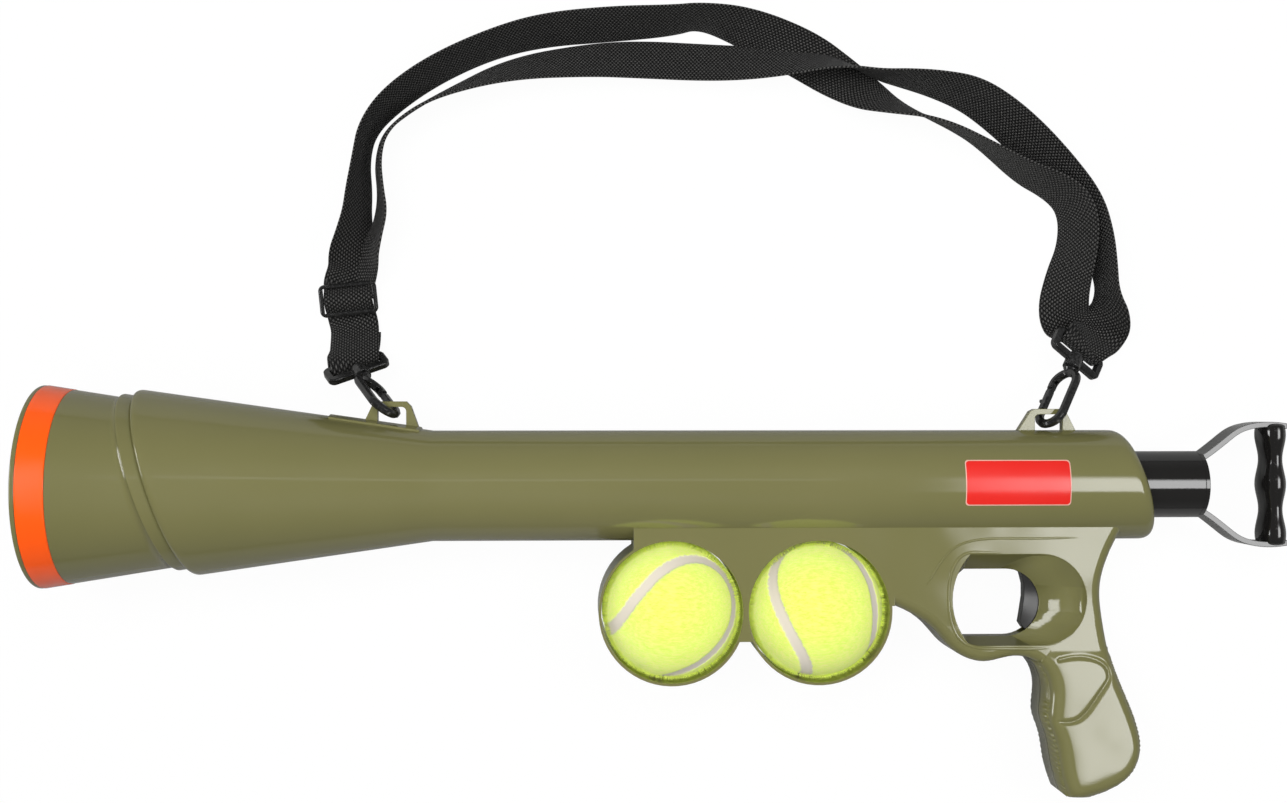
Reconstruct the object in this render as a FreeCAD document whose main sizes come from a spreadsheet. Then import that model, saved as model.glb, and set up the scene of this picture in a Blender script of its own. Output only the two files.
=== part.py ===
import FreeCAD, Part
import math
import os

import Sketcher
from FreeCAD import Placement, Rotation, Vector

# Dog tennis ball launcher, lying on its side: a flared barrel with two body halves,
# a spring-driven plunger with a pull handle, a pistol grip with a trigger, a holder
# with two balls under the barrel and an adjustable shoulder strap on two snap hooks.
#
# Every piece of the launcher is drawn in the launcher's own frame and then laid down:
#   gx  along the barrel, 0 just inside the muzzle rim, growing towards the pull handle
#   gy  from the barrel's axis up to the strap lugs, the grip hangs towards -gy
#   gz  across the launcher, 0 at the parting plane, + is the left side (it lies upwards)
# All sizes are millimetres and degrees.

SIZES = {
    # barrel and bell
    "tube_radius": 26.0,
    "wall": 2.4,
    "tube_front": 178.0,
    "tube_back": 513.5,
    "rear_slant": 16.0,
    "rear_round": 7.0,
    "rear_wall": 4.0,
    "mouth_radius": 47.0,
    "rim_front": -3.5,
    "cup_taper": 9.0,
    "cup_length": 72.0,
    "bell_front_radius": 44.2,
    "bell_front": 50.0,
    "collar_station": 54.0,
    "collar_slant": 17.5,
    "collar_round": 4.0,
    "ridge_width": 7.0,
    "ridge_rise": 1.8,
    "lip_depth": 3.2,
    "rib_gap": 1.6,
    "band_front": -1.2,
    "band_width": 12.4,
    "band_depth": 1.0,
    "band_rise": 0.2,
    "bead_radius": 32.2,
    # web, ball holder, grip frame
    "frame_half": 17.5,
    "frame_round": 5.0,
    "web_front": 272.0,
    "ball_radius": 32.7,
    "ball_clearance": 0.35,
    "holder_wall": 1.2,
    "ball_x": 290.0,
    "ball_space": 3.2,
    "ball_pitch": "=2 * ball_radius + ball_space",
    "ball_depth": 25.6,
    "ball_drop": "=ball_radius + ball_depth",
    "gusset_drop": 72.2,
    "grip_drop": 146.5,
    "dish_front": 421.2,
    "dish_back": 484.8,
    "dish_top": 31.9,
    "dish_bottom": 74.7,
    "gap_back": 466.0,
    "gap_top": 40.0,
    "gap_bottom": 72.0,
    "gap_half": 3.6,
    # strap lugs
    "lug_half": 2.4,
    "front_lug_x": 158.7,
    "front_lug_rise": 13.8,
    "front_lug_top": "=tube_radius + front_lug_rise",
    "rear_lug_x": 471.3,
    "rear_lug_rise": 10.2,
    "rear_lug_top": "=tube_radius + rear_lug_rise",
    "lug_bar": 2.6,
    "lug_leg": 2.2,
    "lug_eye": 13.4,
    "lug_foot_front": 15.5,
    "lug_foot_back": 13.5,
    "saddle_half": 9.0,
    "saddle_rise": 1.0,
    "saddle_front": 130.0,
    # plunger, spring and guides
    "plunger_radius": 15.9,
    "plunger_wall": 1.6,
    "plunger_front": 172.0,
    "plunger_reach": 31.1,
    "plunger_back": "=tube_back + plunger_reach",
    "stroke": 150.0,
    "head_radius": 22.8,
    "head_length": 16.0,
    "pad_radius": 19.5,
    "pad_thick": 5.0,
    "running_gap": 0.06,
    "seat_gap": 0.1,
    "collar_x": 408.0,
    "collar_length": 9.0,
    "bush_depth": 26.5,
    "bush_x": "=tube_back - bush_depth",
    "bush_length": 13.0,
    "spring_wire": 1.5,
    "spring_radius": 19.4,
    # trigger, sear and pins
    "trigger_x": 466.5,
    "trigger_drop": 34.5,
    "trigger_half": 2.9,
    "slot_half": 3.4,
    "sear_x": 455.0,
    "sear_drop": 27.6,
    "sear_half": 2.9,
    "sear_tip_x": 441.0,
    "pin_radius": 1.5,
    "pin_half": 9.0,
    "work_gap": 0.3,
    # body screws
    "screw_radius": 1.5,
    "screw_head_radius": 2.9,
    "screw_head": 2.0,
    "screw_sink": 4.0,
    "screw_reach": 9.0,
    "boss_radius": 4.2,
    # pull handle
    "handle_half": 29.2,
    "handle_reach": 35.5,
    "handle_back": "=plunger_back + handle_reach",
    "arm_thick": 2.6,
    "arm_half": 7.0,
    "handle_grip_radius": 5.6,
    "handle_grip_wave": 0.8,
    "handle_grip_depth": 9.5,
    "plug_length": 22.0,
    "plug_flange": 2.0,
    "spigot_radius": 3.0,
    "catch_length": 6.0,
    "small_spring_radius": 2.0,
    # snap hooks
    "hook_rod": 2.0,
    "hook_bevel": 1.1,
    "hook_hang": 1.1,
    "hook_play": 0.4,
    "hook_half": 6.9,
    "hook_reach": 6.1,
    "hook_side": 18.0,
    "hook_gate_rod": 1.7,
    "gate_gap_low": 3.0,
    "gate_pin_u": 18.0,
    "gate_pin_radius": 0.7,
    "gate_tongue_half": 1.0,
    "gate_play": 0.15,
    "gate_shoulder": 2.0,
    "post_end": 36.0,
    "post_head": 1.5,
    "post_head_radius": 3.4,
    "boss_turn_radius": 4.2,
    "base_round": 3.2,
    "base_bevel": 0.6,
    "post_radius": 2.3,
    "collar_low": 28.2,
    "base_low": 31.0,
    "base_high": 43.4,
    "base_half": 15.6,
    "base_bar": 3.3,
    "base_thick": 3.6,
    "front_hook_yaw": 134.5,
    "front_hook_dip": 46.5,
    "front_hook_roll": 78.0,
    "front_hook_shift": -4.5,
    "front_base_roll": 31.5,
    "rear_hook_yaw": 60.5,
    "rear_hook_dip": 25.0,
    "rear_hook_roll": 117.0,
    "rear_hook_shift": 2.7,
    "rear_base_roll": 18.0,
    # how far the strap's hooks stand out beyond the rim, for the frame's origin
    "hook_overhang": 28.6,
    # strap
    "web_width": 24.0,
    "web_thick": 1.6,
    "web_clear": 0.2,
    "web_gap": 0.35,
    "slider_width": 28.6,
    "slider_length": 16.2,
    "slider_bar": 1.9,
    "slider_thick": 2.6,
    "slider_core": 1.4,
    "slider_round": 3.0,
    "slider_edge": 0.7,
    "slider_x": -159.0,
    "slider_y": 125.5,
    "slider_turn": 6.0,
}

doc = FreeCAD.newDocument("BallLauncher")
sheet = doc.addObject("Spreadsheet::Sheet", "Sizes")
for row, (alias, value) in enumerate(SIZES.items(), start=1):
    sheet.set(f"A{row}", alias)
    sheet.set(f"B{row}", str(value))
    sheet.setAlias(f"B{row}", alias)
doc.recompute()


def size(alias):
    """Reads one driving dimension from the sheet."""
    return float(sheet.get(alias))


def tangent(alias):
    """Tangent of an angle kept in the sheet."""
    return math.tan(math.radians(size(alias)))


def cup_radius(x):
    """Outer radius of the muzzle cup, which narrows from the rim inwards."""
    return size("mouth_radius") - tangent("cup_taper") * x


# The rest pose: the launcher leans on the muzzle rim, the rear ball and the tube's end.


def rest_rotation():
    """Turns the launcher's frame so that its three low points share one floor."""
    rim = cup_radius(size("rim_front"))
    back = size("tube_back") - size("rear_round") - size("rim_front")
    pitch = math.atan2(rim - size("tube_radius"), back)
    height = rim * math.cos(pitch)
    ball_x = size("ball_x") + size("ball_pitch") - size("rim_front")
    lean = size("ball_radius") - height + math.sin(pitch) * ball_x
    roll = math.asin(-lean / size("ball_drop") / math.cos(pitch))
    nod = Rotation(Vector(0, 1, 0), math.degrees(pitch))
    return nod.multiply(Rotation(Vector(1, 0, 0), math.degrees(roll)))


def rest_placement():
    """Puts the floor under the launcher and the origin under its bounding box."""
    turn = rest_rotation()
    mouth = size("rim_front")
    rim = cup_radius(mouth)
    low = [turn.multVec(Vector(mouth, rim * math.sin(a), -rim * math.cos(a))).z
           for a in (math.radians(step) for step in range(-8, 9))]
    front = turn.multVec(Vector(mouth, rim, 0))
    back = turn.multVec(Vector(size("handle_back") + size("handle_grip_radius")
                               + size("handle_grip_wave"), 0, 0))
    butt = turn.multVec(Vector(0, -size("grip_drop"), 0))
    left = turn.multVec(Vector(mouth, 0, -rim)).x
    middle = (front.y + size("hook_overhang") + butt.y) / 2
    return Placement(Vector(-(back.x + left) / 2, -middle, -min(low)), turn)


REST = rest_placement()


# Helpers for drawing.

ALONG_GX = Rotation(Vector(0, 1, 0), 90)
ALONG_GZ = Rotation()
ALONG_GY = Rotation(Vector(1, 0, 0), -90)


def primitive(kind, name, sizes, place, turn):
    """Adds a primitive whose sizes and place are expressions on the sheet."""
    solid = doc.addObject(kind, name)
    for prop, expression in sizes.items():
        solid.setExpression(prop, expression)
    solid.Placement = Placement(Vector(), turn)
    for axis, expression in zip("xyz", place):
        solid.setExpression(f"Placement.Base.{axis}", expression)
    return solid


def cylinder(name, radius, length, place, turn=ALONG_GX):
    """Cylinder along one axis of the launcher, sized by expressions."""
    return primitive("Part::Cylinder", name, {"Radius": radius, "Height": length}, place, turn)


def box(name, sides, corner):
    """Box between axis-aligned faces, sized by expressions."""
    sizes = dict(zip(("Length", "Width", "Height"), sides))
    return primitive("Part::Box", name, sizes, corner, Rotation())


def cut(name, base, tool):
    """Boolean difference of two objects of the document."""
    result = doc.addObject("Part::Cut", name)
    result.Base = base
    result.Tool = tool
    return result


def fuse(name, *parts):
    """Boolean union of several objects of the document."""
    result = doc.addObject("Part::MultiFuse", name)
    result.Shapes = list(parts)
    return result


def piece(node, *solids):
    """Makes the named sub-part of one or more solids and lays it down with the launcher."""
    whole = doc.addObject("Part::Compound", "Node_" + node)
    whole.Links = list(solids)
    whole.Label = node
    whole.Placement = REST
    PIECES.append(whole)
    return whole


def shaped(node, shape, placement=None):
    """Makes the named sub-part from a shape built with the geometry functions."""
    feature = doc.addObject("Part::Feature", "Node_" + node)
    feature.Shape = shape
    feature.Label = node
    feature.Placement = REST if placement is None else placement
    PIECES.append(feature)
    return feature


def profile_body(node, corners, depth, rounds):
    """Pads a closed outline equally to both sides of the parting plane.

    corners holds pairs of expressions, depth the half thickness and rounds the
    radius on the outline's own corners, by the number of the corner.
    """
    body = doc.addObject("PartDesign::Body", "Node_" + node)
    plane = [o for o in body.Origin.OriginFeatures if o.Role == "XY_Plane"][0]
    sketch = body.newObject("Sketcher::SketchObject", node + "_outline")
    sketch.AttachmentSupport = [(plane, "")]
    sketch.MapMode = "FlatFace"
    spots = [Vector(evaluate(x), evaluate(y), 0) for x, y in corners]
    count = len(corners)
    for index in range(count):
        sketch.addGeometry(Part.LineSegment(spots[index], spots[(index + 1) % count]), False)
    for index, (x, y) in enumerate(corners):
        sketch.addConstraint(Sketcher.Constraint("Coincident", index, 2, (index + 1) % count, 1))
        for kind, expression, value in (("DistanceX", x, spots[index].x), ("DistanceY", y, spots[index].y)):
            number = sketch.addConstraint(Sketcher.Constraint(kind, -1, 1, index, 1, value))
            sketch.setExpression(f"Constraints[{number}]", expression)
    pad = body.newObject("PartDesign::Pad", node + "_pad")
    pad.Profile = sketch
    pad.SideType = "Symmetric"
    pad.setExpression("Length", f"2 * ({depth})")
    doc.recompute()
    for radius, numbers in rounds.items():
        base = body.Tip
        names = [name for number in numbers for name in upright_edges(base.Shape, spots[number])]
        fillet = body.newObject("PartDesign::Fillet", f"{node}_round_{len(body.Group)}")
        fillet.Base = (base, names)
        fillet.setExpression("Radius", radius)
        body.Tip = fillet
        doc.recompute()
    body.Label = node
    body.Placement = REST
    PIECES.append(body)
    return body


def evaluate(expression):
    """Value of an expression on the sheet."""
    return float(sheet.evalExpression(expression))


def upright_edges(shape, spot):
    """Names of the straight edges across the launcher that pass through a spot."""
    names = []
    for number, edge in enumerate(shape.Edges, start=1):
        ends = [vertex.Point for vertex in edge.Vertexes]
        if len(ends) == 2 and all(math.hypot(p.x - spot.x, p.y - spot.y) < 1e-4 for p in ends):
            names.append(f"Edge{number}")
    return names


PIECES = []


# Shapes shared by the barrel's pieces.


def spline(points):
    """Smooth edge through a few points."""
    curve = Part.BSplineCurve()
    curve.interpolate(points)
    return curve.toShape()


def flat(pairs):
    """Points of the launcher's side view."""
    return [Vector(x, y, 0) for x, y in pairs]


def polygon(points):
    """Face inside a closed run of straight edges."""
    return Part.Face(Part.makePolygon(points + points[:1]))


def slab(face, low, high):
    """Thickens a side-view face from one level to another across the launcher."""
    lifted = face.copy()
    lifted.translate(Vector(0, 0, low))
    return lifted.extrude(Vector(0, 0, high - low))


def inset(points, distance):
    """Moves an open run of points to its left by a distance, square to its own course."""
    moved = []
    for index, point in enumerate(points):
        before = points[max(index - 1, 0)]
        after = points[min(index + 1, len(points) - 1)]
        course = (after - before).normalize()
        moved.append(point + Vector(-course.y, course.x, 0) * distance)
    return moved


def bell_radius(x):
    """Outer radius of the long cone that ends in the tube."""
    slope = (size("bell_front_radius") - size("tube_radius")) / (size("tube_front") - size("bell_front"))
    return size("tube_radius") + slope * (size("tube_front") - x)


def along_barrel(x):
    """Point on the barrel's axis."""
    return Vector(x, 0, 0)


def frustum(front, back, radius, extra):
    """Cone between two stations on a radius law, grown by a constant."""
    return Part.makeCone(radius(front) + extra, radius(back) + extra, back - front,
                         along_barrel(front), Vector(1, 0, 0))


def rod(front, back, radius):
    """Round bar on the barrel's axis."""
    return Part.makeCylinder(radius, back - front, along_barrel(front), Vector(1, 0, 0))


def ahead_of(station, slant):
    """Block that fills all in front of a plane that leans back towards the grip."""
    reach = 4 * size("mouth_radius")
    block = Part.makeBox(reach, reach, reach, Vector(-reach, -reach / 2, -reach / 2))
    block.rotate(Vector(), Vector(0, 0, 1), size(slant))
    block.translate(along_barrel(station))
    return block


def behind(station, slant):
    """Block that fills all behind a plane that leans back towards the grip."""
    reach = 4 * size("mouth_radius")
    block = Part.makeBox(reach, reach, reach, Vector(0, -reach / 2, -reach / 2))
    block.rotate(Vector(), Vector(0, 0, 1), size(slant))
    block.translate(along_barrel(station))
    return block


def edges_between(shape, low, high):
    """Curved edges whose middle lies between two stations of the barrel."""
    return [edge for edge in shape.Edges
            if low < edge.BoundBox.Center.x < high
            and edge.Length > size("tube_radius")
            and edge.BoundBox.XLength > size("wall")]


# The two body halves.

SCREW_SPOTS = ((324.3, -36.8), (405.0, -45.0), (487.8, -31.5), (486.0, -97.0), (490.5, -130.5))

GRIP_FRONT = flat([(380, -52.2), (394, -55.8), (404, -60.6), (413, -67.2), (420.5, -75.6), (429, -81),
                   (437, -82.6), (450, -80.2), (461.2, -82.6), (466.4, -89), (468, -100.5), (467.5, -110),
                   (470.5, -119.5), (473.3, -134.5), (477, -146.5)])
GRIP_BACK = flat([(488, -146.5), (498.3, -142.3), (506.5, -136), (510.8, -125), (508.3, -110.5),
                  (497.3, -82.5), (493.2, -63), (492.2, -47), (495.3, -35), (502.8, -20)])
GRIP_HOLLOW_FRONT = 10
GRIP_HOLLOW_BACK = 6


def barrel_outside():
    """Cone, tube and rounded slanted end of the barrel as one solid.

    The end's rounding leaves a flat wall round the plunger's hole.
    """
    rear_flat = size("tube_radius") - size("plunger_radius") - size("work_gap") - size("wall")
    rear_round = min(size("rear_round"), rear_flat)
    start = size("collar_station") - size("mouth_radius")
    end = size("tube_back") + size("mouth_radius")
    solid = frustum(start, size("tube_front"), bell_radius, 0)
    solid = solid.fuse(rod(size("tube_front"), end, size("tube_radius")))
    solid = solid.cut(ahead_of(size("collar_station"), "collar_slant"))
    solid = solid.cut(behind(size("tube_back"), "rear_slant"))
    solid = solid.makeFillet(size("collar_round"),
                             edges_between(solid, size("bell_front") - size("wall"), size("cup_length")))
    return solid.makeFillet(rear_round,
                            edges_between(solid, size("tube_back") - size("rear_round"),
                                          size("tube_back") + size("rear_round")))


def barrel_inside():
    """Space inside the barrel: funnel, bore and the way out for the plunger."""
    lip = size("collar_station") + size("lip_depth")
    funnel = frustum(lip - size("tube_radius"), size("tube_front"), bell_radius, -size("wall"))
    funnel = funnel.cut(ahead_of(lip, "collar_slant"))
    bore = rod(size("tube_front"), size("tube_back") + size("tube_radius"),
               size("tube_radius") - size("wall"))
    bore = bore.cut(behind(size("tube_back") - size("rear_wall"), "rear_slant"))
    mouth = frustum(0, size("cup_length"), cup_radius, size("seat_gap"))
    exit_hole = rod(size("tube_back") - size("tube_radius"), size("tube_back") + size("tube_radius"),
                    size("plunger_radius") + size("work_gap"))
    return funnel.multiFuse([bore, mouth, exit_hole])


def stop_ribs():
    """Rings inside the bore that hold the spring collar and the rear bush."""
    rings = []
    for back in (size("bush_x") - size("seat_gap"),
                 size("collar_x") + size("collar_length") + size("seat_gap") + size("wall")):
        ring = rod(back - size("wall"), back, size("tube_radius") - size("wall") / 2)
        rings.append(ring.cut(rod(back - size("wall"), back, size("plunger_radius") + size("rib_gap"))))
    return rings


def lug(x, top):
    """Strap lug: a low trapezoid with an open eye under its bar."""
    foot = size("tube_radius") - size("wall") / 2
    reach = size("lug_eye") / 2 + size("lug_leg")
    outline = flat([(x - size("lug_foot_front"), foot), (x - reach, top - size("lug_leg") / 2),
                    (x - reach + size("lug_leg"), top), (x + reach - size("lug_leg"), top),
                    (x + reach, top - size("lug_leg")), (x + size("lug_foot_back"), foot)])
    plate = slab(polygon(outline), -size("lug_half"), size("lug_half"))
    eye_top = top - size("lug_bar")
    eye = Part.makeBox(size("lug_eye"), eye_top, 3 * size("lug_half"),
                       Vector(x - size("lug_eye") / 2, 0, -1.5 * size("lug_half")))
    corners = [edge for edge in eye.Edges if edge.BoundBox.ZLength > size("lug_half")
               and edge.BoundBox.Center.y > eye_top / 2]
    return plate.cut(eye.makeFillet(size("lug_leg"), corners))


def saddle():
    """Low pad along the top of the cone, from the front lug forwards."""
    length = size("front_lug_x") + size("lug_foot_back") - size("saddle_front")
    strip = Part.makeBox(length, size("mouth_radius"), 2 * size("saddle_half"),
                         Vector(size("saddle_front"), 0, -size("saddle_half")))
    return frustum(size("saddle_front"), size("tube_front"), bell_radius, size("saddle_rise")).common(strip)


def ball_spots():
    """Centres of the two ball holders in the side view."""
    return [Vector(size("ball_x") + index * size("ball_pitch"), -size("ball_drop"), 0) for index in (0, 1)]


def web_outside():
    """Flat web under the barrel with the two round ball holders."""
    half = size("frame_half")
    first, second = ball_spots()
    radius = size("ball_radius") + size("ball_clearance") + size("holder_wall")
    core = size("tube_radius") / 2
    strap = polygon([Vector(size("web_front"), -core, 0), Vector(size("web_front"), first.y, 0),
                     Vector(first.x, first.y, 0), Vector(first.x, -size("gusset_drop"), 0),
                     Vector(second.x, -size("gusset_drop"), 0), Vector(second.x, second.y, 0),
                     Vector(GRIP_FRONT[1].x, GRIP_FRONT[1].y, 0), Vector(GRIP_FRONT[1].x, -core, 0)])
    solid = slab(strap, -half, half)
    for spot in ball_spots():
        solid = solid.fuse(Part.makeCylinder(radius, 2 * half, spot - Vector(0, 0, half)))
    return solid


def grip_outside():
    """Grip frame with its rounded edges on both faces."""
    half = size("frame_half")
    top = size("tube_radius") / 2
    wire = Part.Wire([spline(GRIP_FRONT), Part.makeLine(GRIP_FRONT[-1], GRIP_BACK[0]), spline(GRIP_BACK),
                      Part.makeLine(GRIP_BACK[-1], Vector(GRIP_BACK[-1].x, -top, 0)),
                      Part.makeLine(Vector(GRIP_BACK[-1].x, -top, 0), Vector(GRIP_FRONT[0].x, -top, 0)),
                      Part.makeLine(Vector(GRIP_FRONT[0].x, -top, 0), GRIP_FRONT[0])])
    solid = slab(Part.Face(wire), -half, half)
    rims = [edge for edge in solid.Edges
            if edge.BoundBox.ZLength < 1e-3 and edge.BoundBox.YMin < GRIP_FRONT[0].y]
    return solid.makeFillet(size("frame_round"), [edge for edge in rims if edge.BoundBox.XLength > 1])


def rounded_gap(front, back, top, bottom, nose):
    """Closed outline with straight top and bottom, a blunt front and a round back."""
    middle = (top + bottom) / 2
    round_back = (bottom - top) / 2
    if back - round_back < front + nose:
        round_back = (back - front - nose) / 2
    corners = flat([(front + nose, -top), (back - round_back, -top),
                    (back - round_back, -bottom), (front + nose, -bottom)])
    return Part.Wire([Part.makeLine(corners[0], corners[1]),
                      Part.Arc(corners[1], Vector(back, -middle, 0), corners[2]).toShape(),
                      Part.makeLine(corners[2], corners[3]),
                      Part.Arc(corners[3], Vector(front, -middle, 0), corners[0]).toShape()])


def trigger_guard_space():
    """Finger gap: a straight window at the middle that opens into a dish on each face."""
    half = size("frame_half")
    window = rounded_gap(size("dish_front") + 0.6, size("gap_back"), size("gap_top"), size("gap_bottom"), 8.0)
    rim = rounded_gap(size("dish_front"), size("dish_back"), size("dish_top"), size("dish_bottom"), 8.5)
    space = slab(Part.Face(window), -half, half)
    for side in (-1, 1):
        inner = window.copy()
        inner.translate(Vector(0, 0, side * size("gap_half")))
        outer = rim.copy()
        outer.translate(Vector(0, 0, side * half))
        space = space.fuse(Part.makeLoft([inner, outer], True, True))
    return space


def works_space():
    """Pocket for sear and trigger above the finger gap, and the slit behind the trigger."""
    front = size("sear_tip_x") - 5.0
    back = size("trigger_x") + 17.5
    floor = size("gap_top") - 1.6
    pocket = polygon(flat([(front, -floor), (back, -floor), (back, 0), (front, 0)]))
    slit_front = size("trigger_x") - 11.0
    slit_back = size("trigger_x") + 9.5
    slit_step = size("gap_bottom") - 20.0
    slit = polygon(flat([(slit_front, -floor + 1), (slit_back, -floor + 1), (slit_back, -slit_step),
                         (slit_back - 5.5, 1.5 - size("gap_bottom")), (slit_front, 1.5 - size("gap_bottom"))]))
    return slab(pocket, -size("slot_half"), size("slot_half")).fuse(
        slab(slit, -size("slot_half"), size("slot_half")))


def grip_space():
    """Hollow inside the grip, one wall smaller than its outside."""
    depth = size("frame_half") - size("wall")
    front = inset(GRIP_FRONT, size("wall"))[GRIP_HOLLOW_FRONT:-1]
    back = inset(GRIP_BACK, size("wall"))[1:GRIP_HOLLOW_BACK]
    wire = Part.Wire([spline(front), Part.makeLine(front[-1], back[0]), spline(back),
                      Part.makeLine(back[-1], front[0])])
    return slab(Part.Face(wire), -depth, depth)


def web_space():
    """Hollow between the rear ball holder and the finger gap."""
    depth = size("frame_half") - size("wall")
    top = size("tube_radius") + size("wall")
    front = ball_spots()[1].x + size("ball_radius") + size("ball_clearance") + size("wall")
    back = size("dish_front") - size("wall")
    return slab(polygon(flat([(front, -top), (back, -top), (back, -62.0), (411, -60), (front, -50)])),
                -depth, depth)


def screw_bosses():
    """Posts across the hollows for the body screws."""
    depth = size("frame_half") - size("wall")
    return [Part.makeCylinder(size("boss_radius"), 2 * depth, Vector(x, y, -depth)) for x, y in SCREW_SPOTS]


def screw_holes():
    """Pilot holes with the sunk seats for the heads on the right face."""
    half = size("frame_half")
    holes = []
    for x, y in SCREW_SPOTS:
        seat = Part.makeCylinder(size("screw_head_radius") + size("work_gap"), size("screw_sink"),
                                 Vector(x, y, -half))
        shank = Part.makeCylinder(size("screw_radius") + size("running_gap"),
                                  half + size("screw_reach") + size("work_gap"), Vector(x, y, -half))
        holes.append(seat.fuse(shank))
    return holes


def pin_holes():
    """Blind holes that carry the trigger pin and the sear pin."""
    holes = []
    for x, drop in ((size("trigger_x"), size("trigger_drop")), (size("sear_x"), size("sear_drop"))):
        reach = size("pin_half") + size("seat_gap")
        holes.append(Part.makeCylinder(size("pin_radius") + size("running_gap") / 2, 2 * reach,
                                       Vector(x, -drop, -reach)))
    return holes


def body_halves():
    """Builds the whole moulding once and parts it at gz 0."""
    outside = barrel_outside().multiFuse([
        saddle(), lug(size("front_lug_x"), size("front_lug_top")),
        lug(size("rear_lug_x"), size("rear_lug_top")), web_outside(), grip_outside()])
    hollows = grip_space().fuse(web_space())
    for boss in screw_bosses():
        hollows = hollows.cut(boss)
    half = size("frame_half")
    balls = [Part.makeCylinder(size("ball_radius") + size("ball_clearance"), 4 * half,
                               spot - Vector(0, 0, 2 * half)) for spot in ball_spots()]
    bore = barrel_inside()
    for ring in stop_ribs():
        bore = bore.cut(ring)
    spaces = [bore, hollows, trigger_guard_space(), works_space()] + balls + pin_holes() + screw_holes()
    moulding = outside
    for space in spaces:
        moulding = moulding.cut(space)
    reach = 2 * size("tube_back")
    for node, low in (("left_body_half", -reach), ("right_body_half", 0)):
        other_side = Part.makeBox(2 * reach, 2 * reach, reach, Vector(-reach / 2, -reach, low))
        shaped(node, moulding.cut(other_side))


body_halves()


# Muzzle cup and its orange band.


def muzzle_cup():
    """Funnel that the halves clamp by a slanted tongue, with a bead that holds a ball."""
    wall = size("wall")
    length = size("cup_length")
    band_end = size("band_front") + size("band_width")
    depth = size("band_depth")
    bead = size("bead_radius")
    mouth = size("rim_front")
    outline = [(mouth, cup_radius(mouth)), (size("band_front"), cup_radius(size("band_front"))),
               (size("band_front"), cup_radius(size("band_front")) - depth),
               (band_end, cup_radius(band_end) - depth), (band_end, cup_radius(band_end)),
               (length, cup_radius(length)), (length, bead), (length - wall, bead),
               (length - 3 * wall, cup_radius(length - 3 * wall) - wall), (mouth, cup_radius(mouth) - wall)]
    funnel = polygon(flat(outline)).revolve(Vector(), Vector(1, 0, 0), 360)
    core = frustum(0, length, cup_radius, -wall / 2)
    front = size("collar_station")
    back = front + size("lip_depth")
    for low, high in ((front - size("ridge_width"), front - size("seat_gap")),
                      (back + size("seat_gap"), back + wall)):
        ring = frustum(0, size("tube_front"), cup_radius, size("ridge_rise"))
        ring = ring.cut(ahead_of(low, "collar_slant")).cut(behind(high, "collar_slant")).cut(core)
        funnel = funnel.fuse(ring.cut(frustum(0, size("tube_front"), cup_radius, -wall / 2)))
    shaped("muzzle_cup", funnel)


def muzzle_band():
    """Orange ring in its groove around the rim."""
    front = size("band_front") + size("seat_gap")
    back = size("band_front") + size("band_width") - size("seat_gap")
    ring = frustum(front, back, cup_radius, size("band_rise"))
    inner = frustum(front - 1, back + 1, cup_radius, size("seat_gap") - size("band_depth"))
    shaped("orange_muzzle_band", ring.cut(inner))


# Balls in their holders.


def balls():
    """Two balls, one in each holder."""
    for index, node in enumerate(("front_ball", "rear_ball")):
        ball = primitive("Part::Sphere", node + "_sphere", {"Radius": "Sizes.ball_radius"},
                         (f"Sizes.ball_x + {index} * Sizes.ball_pitch", "-Sizes.ball_drop", "0"), Rotation())
        piece(node, ball)


# Plunger, striker, spring and guides.


def tube_piece(name, outer, inner, front, length):
    """Pipe on the barrel's axis between two expressions."""
    shell = cylinder(name + "_outside", outer, length, (front, "0", "0"))
    hole = cylinder(name + "_bore", inner, length, (front, "0", "0"))
    return cut(name + "_pipe", shell, hole)


def plunger():
    """Tube with the catch window that the sear holds when the spring is wound."""
    length = "Sizes.plunger_back - Sizes.plunger_front - Sizes.plug_flange"
    pipe = tube_piece("plunger", "Sizes.plunger_radius", "Sizes.plunger_radius - Sizes.plunger_wall",
                      "Sizes.plunger_front", length)
    window = box("plunger_window", ("Sizes.catch_length", "Sizes.plunger_radius", "2 * Sizes.slot_half"),
                 ("Sizes.sear_tip_x - Sizes.stroke - Sizes.catch_length / 2",
                  "-Sizes.plunger_radius - Sizes.plunger_wall", "-Sizes.slot_half"))
    screw = cylinder("plunger_screw_hole", "Sizes.screw_radius + Sizes.seat_gap", "Sizes.plunger_radius",
                     ("Sizes.plunger_back - Sizes.plug_length / 2", "0", "-Sizes.plunger_radius"), ALONG_GZ)
    piece("plunger_tube", cut("plunger_screwed", cut("plunger_windowed", pipe, window), screw))


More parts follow.
